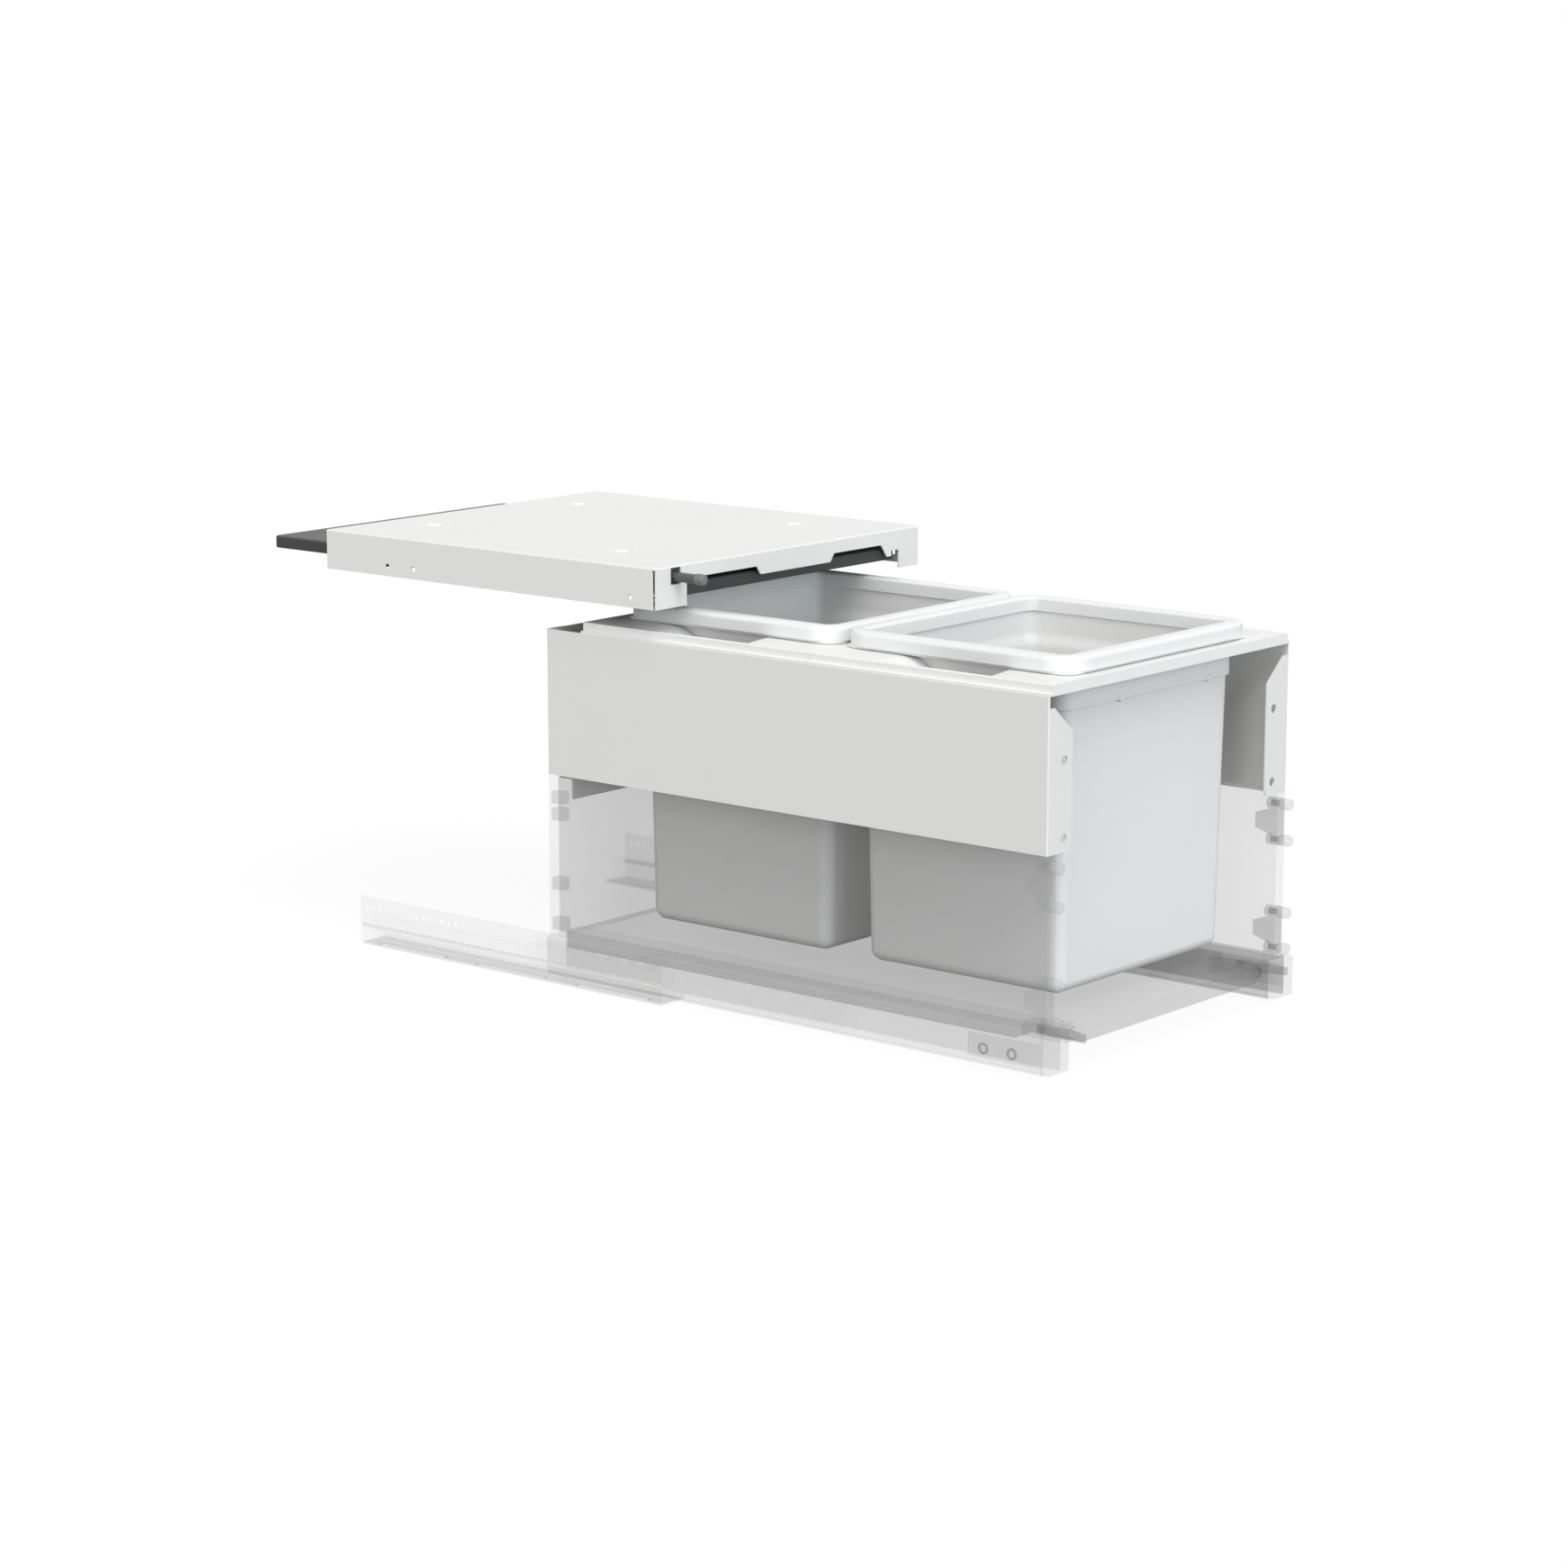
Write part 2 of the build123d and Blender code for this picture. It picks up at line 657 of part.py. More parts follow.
# ------------------------------------------------------------------ top frame
def finger_recess(bin_y, shift):
    """The cut and the well of one finger recess beside a bin, left hand, shifted along Y."""
    inner = band_w / 2 + opening_gap
    y0 = bin_y - recess_ahead + shift
    y1 = y0 + recess_len
    low = frame_top - recess_depth
    cut = plate_z(
        [
            (-recess_outer, y0),
            (-inner + frame_wall, y0 + recess_slant),
            (-inner + frame_wall, y1 + recess_slant),
            (-recess_outer, y1),
        ],
        (low - 1, frame_top + 1),
    )
    shell = Ellipse(scoop_len, recess_depth) - Ellipse(scoop_len - well_t, recess_depth - well_t)
    quarter = shell & Pos(-scoop_len / 2, recess_depth / 2) * Rectangle(scoop_len, recess_depth)
    upright = Plane((-recess_outer, y1, low), x_dir=(0, 1, 0), z_dir=(1, 0, 0))
    scoop = extrude(upright * quarter, amount=recess_outer - inner + frame_wall)
    fill = plate_z(
        [
            (-recess_outer, y1),
            (-inner + frame_wall, y1),
            (-inner + frame_wall, y1 + recess_slant),
        ],
        (frame_top - frame_t, frame_top),
    )
    outer_wall = block(
        (-recess_outer - well_t, -recess_outer), (y0 - well_t, y1), (low, frame_top - frame_t)
    )
    front_wall = plate_z(
        [
            (-recess_outer, y0 - well_t),
            (-inner + frame_wall, y0 - well_t + recess_slant),
            (-inner + frame_wall, y0 + recess_slant),
            (-recess_outer, y0),
        ],
        (low, frame_top - frame_t),
    )
    return cut, scoop + fill + outer_wall + front_wall


def frame_half(y, bin_y, closed_end, shift):
    """One half of the top frame: deck, outer walls, ledge, collar round the bin, finger recesses."""
    half = frame_half_w
    deck_low = frame_top - frame_t
    opening_w = band_w + 2 * opening_gap
    opening_d = band_d + 2 * opening_gap
    opening_r = bin_corner_r + opening_gap
    frame = block((-half, half), y, (panel_top, frame_top))
    frame -= block((-half + frame_wall, half - frame_wall), y, (panel_top, deck_low))
    end = (y[0], y[0] + frame_wall) if closed_end < 0 else (y[1] - frame_wall, y[1])
    frame += block((-half, half), end, (panel_top, frame_top))
    collar = rounded(
        opening_w + 2 * frame_wall, opening_d + 2 * frame_wall, opening_r + frame_wall, bin_y,
        (frame_top - collar_drop, deck_low),
    )
    frame += collar
    ledge_half = half_drawer - frame_ledge_in
    skirt_out = half_drawer - sheet_t - move_gap
    for side in (-1, 1):
        ledge_x = (side * (half - frame_wall), side * ledge_half)
        ledge = block(ledge_x, y, (panel_top, panel_top + frame_ledge_t))
        skirt_y = (max(y[0], frame_skirt_front), y[1])
        skirt = block(
            (side * (half - frame_wall), side * skirt_out), skirt_y, (panel_top - frame_skirt, panel_top)
        )
        frame += ledge + skirt
    cut, well = finger_recess(bin_y, shift)
    frame = frame - cut + well - right_of(cut) + right_of(well)
    frame -= rounded(opening_w, opening_d, opening_r, bin_y, (panel_top - recess_depth * 2, frame_top + 1))
    deck_edges = [
        e
        for e in frame.edges().filter_by(Axis.Y)
        if abs(e.center().Z - frame_top) < 0.01 and abs(abs(e.center().X) - half) < 0.01
    ]
    return fillet(deck_edges, deck_round)


# ------------------------------------------------------------------ bins and bag rings
def bin_body(bin_y):
    """Tapered bin with a straight band at the top, a flange on the frame and an upright rim."""
    body_top = frame_top - band_h
    width = band_w - 2 * band_step
    depth = band_d - 2 * band_step

    def shell(inset, floor, foot_r):
        low = RectangleRounded(
            width - 2 * bin_taper_w - 2 * inset, depth - 2 * bin_taper_d - 2 * inset, bin_corner_r - inset
        )
        high = RectangleRounded(width - 2 * inset, depth - 2 * inset, bin_corner_r - inset)
        solid = loft([Pos(0, bin_y, floor) * low, Pos(0, bin_y, body_top) * high])
        return fillet(solid.faces().sort_by(Axis.Z)[0].edges(), foot_r)

    rim_top = ring_top - ring_wall - bin_clear
    flange_low = frame_top + bin_clear
    body = shell(0, bin_floor, bin_foot_r)
    body += rounded(band_w, band_d, bin_corner_r, bin_y, (body_top, rim_top))
    flange_w = ring_w - 2 * (ring_wall + ring_gap)
    flange_d = ring_d - 2 * (ring_wall + ring_gap)
    body += rounded(flange_w, flange_d, ring_r - ring_wall, bin_y, (flange_low, flange_low + bin_flange_t))
    for x in (-nub_x, nub_x):
        body += bar_y(x, (bin_y - band_d / 2 - 1, bin_y), body_top + nub_up, nub_r)
    inner_r = bin_corner_r - bin_wall
    step_top = body_top + bin_wall
    hollow = shell(bin_wall, bin_floor + bin_wall, bin_foot_r - bin_wall)
    hollow += rounded(width - 2 * bin_wall, depth - 2 * bin_wall, inner_r, bin_y, (body_top, step_top))
    hollow += rounded(band_w - 2 * bin_wall, band_d - 2 * bin_wall, inner_r, bin_y, (step_top, rim_top + 1))
    return body - hollow


def bag_ring(bin_y):
    """Ring over the bin's rim, with a skirt inside the bin that holds the bag."""
    ring = rounded(ring_w, ring_d, ring_r, bin_y, (ring_low, ring_top))
    ring = fillet(ring.faces().sort_by(Axis.Z)[-1].edges(), ring_round)
    skirt_w = ring_w - 2 * ring_band + 2 * ring_skirt_t
    skirt_d = ring_d - 2 * ring_band + 2 * ring_skirt_t
    skirt_r = bin_corner_r - bin_wall - ring_gap
    hollow_w = ring_w - 2 * ring_wall
    hollow_d = ring_d - 2 * ring_wall
    ring -= rounded(hollow_w, hollow_d, ring_r - ring_wall, bin_y, (ring_low - 1, ring_top - ring_wall))
    ring += rounded(skirt_w, skirt_d, skirt_r, bin_y, (ring_top - ring_skirt, ring_top - ring_wall))
    hole = rounded(
        skirt_w - 2 * ring_skirt_t, skirt_d - 2 * ring_skirt_t, skirt_r - ring_skirt_t, bin_y,
        (ring_top - ring_skirt - 1, ring_top + 1),
    )
    ring -= hole
    inner_rim = ring.faces().sort_by(Axis.Z)[-1].inner_wires().edges()
    return fillet(inner_rim, ring_inner_round)


# ------------------------------------------------------------------ lid housing
def lid_housing():
    """Folded sheet cover under the worktop, open below and behind."""
    x = half_housing
    y = (housing_front, housing_rear)
    top = (housing_top - sheet_t, housing_top)
    cover = block((-x, x), y, top)
    for side in (-1, 1):
        wall_x = (side * x, side * (x - sheet_t))
        cover += block(wall_x, (y[0] + slit_w + sheet_t, y[1]), (housing_z, housing_top))
    left = -x
    z0 = housing_z
    outline = [
        (left + sheet_t, housing_top),
        (left + sheet_t, z0),
        (left + tab_w, z0),
        (left + tab_w, z0 + cutout_top),
        (left + lip_left - cutout_slope, z0 + cutout_top),
        (left + lip_left, z0 + lip_low),
        (x - lip_right, z0 + lip_low),
        (x - lip_right + cutout_slope, z0 + cutout_top),
        (x - tooth_at[0] - tooth_slope, z0 + cutout_top),
        (x - tooth_at[0], z0 + tooth_low),
        (x - tooth_at[1], z0 + tooth_low),
        (x - tooth_at[1], z0 + tooth_notch),
        (x - right_tab_w, z0 + tooth_notch),
        (x - right_tab_w, z0),
        (x - sheet_t, z0),
        (x - sheet_t, housing_top),
    ]
    cover += plate_y(outline, (y[0], y[0] + sheet_t))
    cover -= block(
        (-rod_x - rod_r - notch_gap, -rod_x + rod_r + notch_gap),
        (y[0] - 1, y[0] + sheet_t),
        (rod_z - rod_r - notch_gap, housing_top - sheet_t),
    )
    bends = [
        e
        for e in cover.edges().filter_by(Axis.Y)
        if abs(e.center().Z - housing_top) < 0.01 and abs(abs(e.center().X) - x) < 0.01
    ]
    bends += [
        e
        for e in cover.edges().filter_by(Axis.X)
        if abs(e.center().Z - housing_top) < 0.01 and abs(e.center().Y - y[0]) < 0.01
    ]
    cover = fillet(bends, bend_r)
    for side in (-1, 1):
        for hole_y in housing_hole_y:
            cover -= bar_x(
                (side * (x + 1), side * (x - sheet_t - 1)), hole_y, z0 + housing_hole_z, housing_hole_r
            )
        for px, py in zip(dish_x, pin_y):
            cover = press_dish(cover, side * px, py)
    return cover - bar_z(locator_at[0], y[0] + locator_at[1], (top[0] - 1, top[1] + 1), locator_r)


def press_dish(cover, x, y):
    """Press a dish with a screw hole into the cover's top, with a small mark each side."""
    low = housing_top - dish_depth
    middle = low + dish_depth / 2
    outer = Pos(x, y, middle - sheet_t) * Cone(dish_foot_r + sheet_t, dish_r + sheet_t, dish_depth)
    inner = Pos(x, y, middle) * Cone(dish_foot_r, dish_r, dish_depth)
    cover = cover + outer - inner - bar_z(x, y, (low - 2 * sheet_t, housing_top), dish_hole_r)
    for side in (-1, 1):
        cover -= bar_z(x + side * mark_reach, y, (housing_top - mark_depth, housing_top + 1), mark_r)
    return cover


def housing_screws():
    """Four screws in the dishes that hold the lid guides."""
    screws = []
    seat = housing_top - dish_depth
    for side in (-1, 1):
        for x, y in zip(dish_x, pin_y):
            head = bar_z(side * x, y, (seat, seat + dish_screw_head_h), dish_screw_head_r)
            shank = bar_z(side * x, y, (seat - dish_screw_len, seat), dish_screw_r)
            socket = Pos(side * x, y, seat + dish_screw_head_h) * Box(socket_w, socket_w, dish_screw_head_h)
            screws.append(head + shank - socket)
    return Compound(children=[s.solids()[0] for s in screws])


def lid_guide(pin_at, dish):
    """Guide screwed under the housing: an arm, and a leg with an upright slot for the lid's pin."""
    under = housing_top - sheet_t
    outer = -bar_x_out() - move_gap
    leg_x = (outer - guide_leg, outer)
    y = (pin_at - guide_w / 2, pin_at + guide_w / 2)
    guide = block((leg_x[0], -dish), y, (under - guide_arm_t, under))
    guide += block(leg_x, y, (bar_low, under))
    guide += bar_z(-dish, pin_at, (under - guide_pad_t, under), guide_pad_r)
    recess = Pos(-dish, pin_at, housing_top - dish_depth - sheet_t + dish_depth / 2 - move_gap / 2)
    guide -= recess * Cone(
        dish_foot_r + sheet_t + move_gap, dish_r + sheet_t + move_gap, dish_depth + move_gap
    )
    guide -= bar_z(-dish, pin_at, (under - 2 * guide_pad_t, under), dish_screw_r + screw_gap)
    guide -= slot_x(
        (pin_at, lid_pin_z), (pin_at, lid_pin_z - lid_drop), lid_pin_r + lid_pin_gap,
        (leg_x[0] - 1, leg_x[1] + 1),
    )
    return guide


def rod_bush():
    """Bearing block behind the housing's front, which carries the push rod."""
    y = (housing_front + sheet_t, housing_front + sheet_t + bush_len)
    under = housing_top - sheet_t
    bush = block((-rod_x - bush_w / 2, -rod_x + bush_w / 2), y, (rod_z - bush_drop, under))
    return bush - bar_y(-rod_x, (y[0] - 1, y[1] + 1), rod_z, rod_r + rod_run_gap)


# ------------------------------------------------------------------ lid and its drive
def bar_x_out():
    """Outer face of the slide bars, from the middle."""
    return rod_x + bar_t / 2


def slide_bar():
    """Flat bar with two sloping slots that pull the lid down as it moves back."""
    x = (-bar_x_out(), -bar_x_out() + bar_t)
    bar = block(x, (bar_front, bar_rear), (bar_low, rod_z))
    bar += block(x, (bar_front, bar_tab_rear), (bar_low + lid_drop, bar_tab_top))
    for y in pin_y:
        bar -= slot_x(
            (y, lid_pin_z), (y - rod_stroke, lid_pin_z - lid_drop), lid_pin_r + lid_pin_gap,
            (x[0] - 1, x[1] + 1),
        )
    return bar - bar_x((x[0] - 1, x[1] + 1), cross_rod_y, cross_rod_z, cross_tenon_r + lid_pin_gap)


def push_rod():
    """Rod that the closing drawer front pushes, slotted at its rear for the left slide bar."""
    rod = bar_y(-rod_x, (rod_front, rod_rear), rod_z, rod_r)
    slot = block(
        (-rod_x - bar_t / 2 - screw_gap, -rod_x + bar_t / 2 + screw_gap),
        (bar_front - move_gap, rod_rear + 1),
        (rod_z - rod_r - 1, bar_tab_top + screw_gap),
    )
    return rod - slot


def rod_buffer():
    """Soft cap on the rod's front end."""
    cap = bar_y(-rod_x, (buffer_front, buffer_rear), rod_z, buffer_r)
    cap = fillet(cap.faces().sort_by(Axis.Y)[0].edges(), buffer_round)
    return cap - bar_y(-rod_x, (rod_front, buffer_rear + 1), rod_z, rod_r)


def cross_rod():
    """Rod that joins the two slide bars above the lid."""
    inner = bar_x_out() - bar_t
    rod = bar_x((-inner, inner), cross_rod_y, cross_rod_z, cross_rod_r)
    return rod + bar_x((-inner - bar_t, inner + bar_t), cross_rod_y, cross_rod_z, cross_tenon_r)


def lid_panel():
    """Shallow ribbed tray with its hollow downwards, and an upright ear at each pin."""
    y = (lid_front + lid_rear) / 2
    depth = lid_rear - lid_front
    lid = rounded(2 * lid_x, depth, lid_corner_r, y, (lid_low, lid_top))
    ends = lid.faces().sort_by(Axis.Z)
    lid = fillet(ends[0].edges() + ends[-1].edges(), lid_round)
    lid -= rounded(
        2 * (lid_x - lid_wall), depth - 2 * lid_wall, lid_corner_r - lid_wall, y,
        (lid_low - 1, lid_top - lid_top_t),
    )
    for x in lid_rib_x:
        span = (lid_front + lid_corner_r, lid_rear - lid_corner_r)
        lid += block((x - lid_rib_t / 2, x + lid_rib_t / 2), span, (lid_low + seal_t, lid_top - lid_top_t))
    ear_out = bar_x_out() - bar_t - ear_gap
    for side in (-1, 1):
        x = (side * ear_out, side * (ear_out - ear_t))
        for pin in pin_y:
            ear_z = (lid_top - lid_top_t, lid_pin_z + lid_pin_r + ear_t)
            ear = block(x, (pin - ear_w / 2, pin + ear_w / 2), ear_z)
            hole = bar_x((side * (ear_out + 1), side * (ear_out - ear_t - 1)), pin, lid_pin_z, lid_pin_r)
            lid = lid + ear - hole
    return lid


def lid_seal():
    """Flat plate that closes the tray's hollow and meets the bins."""
    half = lid_x - lid_wall - fit_gap
    depth = lid_rear - lid_front - 2 * (lid_wall + fit_gap)
    y = (lid_front + lid_rear) / 2
    return rounded(2 * half, depth, lid_corner_r - lid_wall - fit_gap, y, (lid_low, lid_low + seal_t))


def lid_pins():
    """Four pins from the lid's ears through the slide bars into the guides."""
    ear_out = bar_x_out() - bar_t - ear_gap
    pins = []
    for side in (-1, 1):
        for y in pin_y:
            x = (side * (ear_out - ear_t), side * (ear_out - ear_t + lid_pin_len))
            pins.append(bar_x(x, y, lid_pin_z, lid_pin_r))
    return Compound(children=[p.solids()[0] for p in pins])


# ------------------------------------------------------------------ write every piece
os.makedirs("parts", exist_ok=True)

export_pair("cabinet_rail", cabinet_rail())
middle_span = (middle_front, middle_front + rail_len)
export_pair("middle_rail", channel(middle_rail_w, middle_span, middle_rail_foot, middle_top))
export_pair("drawer_rail", channel(drawer_rail_w, (0, drawer_depth), drawer_rail_foot, drawer_z))
export_pair("lower_roller_cage", lower_cage())
export_pair("upper_roller_cage", upper_cage())
export_pair("front_clip", front_clip())
export_pair("release_lever", release_lever())

export_pair("drawer_side", drawer_side())
upper_pair, lower_pair = dowel_heights()
export_pair("upper_bracket", front_bracket(upper_pair))
export_pair("lower_bracket", front_bracket(lower_pair))
export_pair("front_dowels", front_dowels())
export_pair("back_connectors", back_connectors())
export("drawer_base", drawer_base())
export("drawer_back", drawer_back())

export_pair("side_panel", side_panel())
export("rear_panel", rear_panel())
export("rear_panel_screws", rear_screws())
export("front_top_frame", frame_half((frame_front, frame_seam - seam_gap / 2), front_bin_y, -1, 0))
export("rear_top_frame", frame_half((frame_seam + seam_gap / 2, frame_rear), rear_bin_y, 1, recess_rear_shift))

for where, middle in (("front", front_bin_y), ("rear", rear_bin_y)):
    export(f"{where}_bin", bin_body(middle))
    export(f"{where}_bag_ring", bag_ring(middle))

export("lid_housing", lid_housing())
export("housing_screws", housing_screws())
export_pair("front_lid_guide", lid_guide(pin_y[0], dish_x[0]))
export_pair("rear_lid_guide", lid_guide(pin_y[1], dish_x[1]))
export("rod_bush", rod_bush())
export("push_rod", push_rod())
export("rod_buffer", rod_buffer())
export_pair("slide_bar", slide_bar())
export("cross_rod", cross_rod())
export("lid_panel", lid_panel())
export("lid_seal", lid_seal())
export("lid_pins", lid_pins())
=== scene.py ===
"""Looks of a pull-out waste cabinet.

White bins with bag rings stand in a white frame between folded sheet panels, under a sheet housing with
a dark lid.  The drawer box and its runners are shown see-through.  All sizes are metres in the CAD frame.
"""
import json
import logging
import math
from dataclasses import dataclass, field
from enum import Enum

import bmesh
import bpy
import numpy as np
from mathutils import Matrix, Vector


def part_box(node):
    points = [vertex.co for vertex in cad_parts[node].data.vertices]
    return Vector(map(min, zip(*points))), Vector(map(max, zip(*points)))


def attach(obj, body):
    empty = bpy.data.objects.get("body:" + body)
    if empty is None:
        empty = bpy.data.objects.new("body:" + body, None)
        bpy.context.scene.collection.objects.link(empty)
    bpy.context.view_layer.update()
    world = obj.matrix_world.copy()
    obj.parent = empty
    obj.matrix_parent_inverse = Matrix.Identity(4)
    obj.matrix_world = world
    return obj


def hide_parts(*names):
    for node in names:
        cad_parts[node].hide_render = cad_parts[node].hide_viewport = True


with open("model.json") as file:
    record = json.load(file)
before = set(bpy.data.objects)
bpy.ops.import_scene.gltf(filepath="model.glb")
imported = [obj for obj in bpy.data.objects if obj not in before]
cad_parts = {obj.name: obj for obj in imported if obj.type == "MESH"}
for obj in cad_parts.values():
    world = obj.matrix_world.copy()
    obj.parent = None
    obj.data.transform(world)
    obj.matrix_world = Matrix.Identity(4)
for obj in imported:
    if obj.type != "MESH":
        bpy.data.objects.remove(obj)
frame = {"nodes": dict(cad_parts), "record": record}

LOG = logging.getLogger("waste_cabinet")
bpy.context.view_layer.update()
MM = 0.001
MERGE_CAD = 0.001 * MM  # points of a CAD mesh nearer than this are one point
MERGE_LOOPS = 0.002 * MM  # the same for a mesh made of loops
FLAT_DEGREES = 0.5  # CAD facets that meet at less than this are one face
NORMAL_WEIGHT = 80  # how strongly large faces rule the weighted normals
SEE_THROUGH_LAYERS = 48  # see-through faces that one ray may cross


# ------------------------------------------------------------------ choices
class Side(Enum):
    """The two sides of the cabinet, with the sign of X on each."""

    LEFT = -1
    RIGHT = 1

    @property
    def word(self) -> str:
        """The side's name in the names of the nodes."""
        return self.name.lower()


class Grain(Enum):
    """How a surface is broken up: cell size in metres, bump distance in metres, bump strength."""

    POWDER = (0.0011, 0.00006, 0.25)
    MOULDED = (0.0007, 0.00004, 0.18)
    SMOOTH = (0.0009, 0.00001, 0.06)
    ROLLED = (0.0015, 0.00003, 0.20)
    SOFT = (0.0005, 0.00006, 0.35)


# ------------------------------------------------------------------ finishes
MIX_SHARE, MIX_FIRST, MIX_SECOND, MIX_RESULT = 0, 6, 7, 2  # sockets of a Mix node for colours
LEAST_ROUGHNESS = 0.02


@dataclass(frozen=True)
class Finish:
    """A surface finish with cloudy colour, uneven gloss and a fine grain.

    Attributes:
        name: name of the material.
        colour: linear base colour.
        roughness: mean roughness.
        grain: the break-up of the surface.
        cloud: share by which the colour varies over some centimetres.
        metallic: 1 for bare metal.
        alpha: 1 for a solid look, less for a piece shown see-through.
        specular: level of the clear reflection.
        stretch: how far the grain is drawn out along X, Y and Z.
        cloud_cell: size of the clouds of colour.
        dust_cell: size of the patches of gloss.
        gloss_spread: how far the roughness strays from its mean.
    """

    name: str
    colour: tuple[float, float, float]
    roughness: float
    grain: Grain
    cloud: float = 0.03
    metallic: float = 0.0
    alpha: float = 1.0
    specular: float = 0.5
    stretch: tuple[float, float, float] = (1.0, 1.0, 1.0)
    cloud_cell: float = 70 * MM
    dust_cell: float = 12 * MM
    gloss_spread: float = 0.06

    def material(self) -> bpy.types.Material:
        """Make the node material, or find it if it was made before.

        Returns:
            The material, driven by Object coordinates.
        """
        made = bpy.data.materials.get(self.name)
        if made:
            return made
        made = bpy.data.materials.new(self.name)
        made.use_nodes = True
        nodes, links = made.node_tree.nodes, made.node_tree.links
        shader = nodes["Principled BSDF"]
        shader.inputs["Metallic"].default_value = self.metallic
        shader.inputs["Alpha"].default_value = self.alpha
        shader.inputs["Specular IOR Level"].default_value = self.specular
        place = nodes.new("ShaderNodeTexCoord").outputs["Object"]
        drawn = nodes.new("ShaderNodeMapping")
        drawn.inputs["Scale"].default_value = [1 / s for s in self.stretch]
        links.new(place, drawn.inputs["Vector"])
        cloud = self._noise(made, place, self.cloud_cell, 2.0)
        dust = self._noise(made, place, self.dust_cell, 4.0)
        size, distance, strength = self.grain.value
        cells = self._noise(made, drawn.outputs["Vector"], size, 2.0)
        tone = nodes.new("ShaderNodeMix")
        tone.data_type = "RGBA"
        tone.inputs[MIX_FIRST].default_value = [c * (1 - self.cloud) for c in self.colour] + [1]
        tone.inputs[MIX_SECOND].default_value = [min(1, c * (1 + self.cloud)) for c in self.colour] + [1]
        links.new(cloud, tone.inputs[MIX_SHARE])
        links.new(tone.outputs[MIX_RESULT], shader.inputs["Base Color"])
        gloss = nodes.new("ShaderNodeMapRange")
        gloss.inputs["To Min"].default_value = max(LEAST_ROUGHNESS, self.roughness - self.gloss_spread)
        gloss.inputs["To Max"].default_value = min(1.0, self.roughness + self.gloss_spread)
        links.new(dust, gloss.inputs["Value"])
        links.new(gloss.outputs["Result"], shader.inputs["Roughness"])
        bump = nodes.new("ShaderNodeBump")
        bump.inputs["Strength"].default_value = strength
        bump.inputs["Distance"].default_value = distance
        links.new(cells, bump.inputs["Height"])
        links.new(bump.outputs["Normal"], shader.inputs["Normal"])
        return made

    @staticmethod
    def _noise(
        made: bpy.types.Material, vector: bpy.types.NodeSocket, size: float, detail: float
    ) -> bpy.types.NodeSocket:
        """Add a noise.

        Args:
            made: the material.
            vector: the coordinates that it reads.
            size: size of its cells in metres.
            detail: how many finer noises are laid over it.

        Returns:
            The socket of its value.
        """
        noise = made.node_tree.nodes.new("ShaderNodeTexNoise")
        noise.inputs["Scale"].default_value = 1 / size
        noise.inputs["Detail"].default_value = detail
        made.node_tree.links.new(vector, noise.inputs["Vector"])
        return noise.outputs["Fac"]


FINISHES: dict[str, Finish] = {
    "housing_steel": Finish("white_powder_coat", (0.81, 0.81, 0.795), 0.45, Grain.POWDER, 0.012),
    "panel_steel": Finish("white_panel_coat", (0.785, 0.785, 0.77), 0.45, Grain.POWDER, 0.012),
    "frame_plastic": Finish("white_frame_plastic", (0.85, 0.85, 0.84), 0.38, Grain.MOULDED, 0.012),
    "bin_plastic": Finish("white_bin_plastic", (0.79, 0.79, 0.785), 0.42, Grain.MOULDED, 0.012),
    "ring_plastic": Finish("white_ring_plastic", (0.81, 0.82, 0.82), 0.30, Grain.SMOOTH, 0.01),
    "lid_plastic": Finish("dark_lid_plastic", (0.042, 0.045, 0.044), 0.50, Grain.MOULDED, 0.06),
    "seal_foam": Finish("dark_seal_foam", (0.045, 0.047, 0.046), 0.85, Grain.SOFT, 0.10),
    "rod_plastic": Finish("dark_rod_plastic", (0.08, 0.084, 0.084), 0.40, Grain.MOULDED, 0.05),
    "buffer_rubber": Finish("grey_buffer_rubber", (0.17, 0.175, 0.175), 0.55, Grain.SOFT, 0.06),
    "guide_plastic": Finish("dark_guide_plastic", (0.030, 0.030, 0.030), 0.45, Grain.MOULDED, 0.08),
    "bar_steel": Finish("zinc_bar", (0.42, 0.43, 0.43), 0.32, Grain.ROLLED, 0.06, 1.0, stretch=(1, 12, 1)),
    "pin_steel": Finish("zinc_pin", (0.50, 0.50, 0.50), 0.28, Grain.ROLLED, 0.05, 1.0, stretch=(12, 1, 1)),
    "clear_side": Finish("see_through_side", (0.40, 0.40, 0.395), 0.35, Grain.SMOOTH, 0.02, alpha=0.09),
    "clear_board": Finish(
        "see_through_board", (0.27, 0.27, 0.268), 0.45, Grain.SMOOTH, 0.03, alpha=0.25, specular=0.2
    ),
    "clear_rail": Finish("see_through_rail", (0.36, 0.36, 0.355), 0.30, Grain.ROLLED, 0.03, alpha=0.065),
    "clear_fitting": Finish("see_through_fitting", (0.32, 0.32, 0.315), 0.35, Grain.SMOOTH, 0.03, alpha=0.18),
    "clear_dowel": Finish("see_through_dowel", (0.55, 0.57, 0.58), 0.18, Grain.SMOOTH, 0.02, alpha=0.24),
    "lever_plastic": Finish("see_through_lever", (0.14, 0.145, 0.14), 0.40, Grain.MOULDED, 0.05, alpha=0.24),
}
INNER_RAIL = Finish("see_through_inner_rail", (0.40, 0.40, 0.39), 0.35, Grain.ROLLED, 0.03, alpha=0.018)
RAIL_LEG = Finish("see_through_rail_leg", (0.30, 0.30, 0.295), 0.30, Grain.ROLLED, 0.03, alpha=0.24)
# Near-white finish on the rail's bead: a painted highlight standing in for the reflection along the rail's
# wall.
RAIL_BEAD_HIGHLIGHT = Finish("see_through_rail_bead", (0.93, 0.93, 0.92), 0.25, Grain.ROLLED, 0.01, alpha=0.60)
CLIP = Finish("see_through_clip", (0.34, 0.34, 0.335), 0.35, Grain.SMOOTH, 0.03, alpha=0.13)
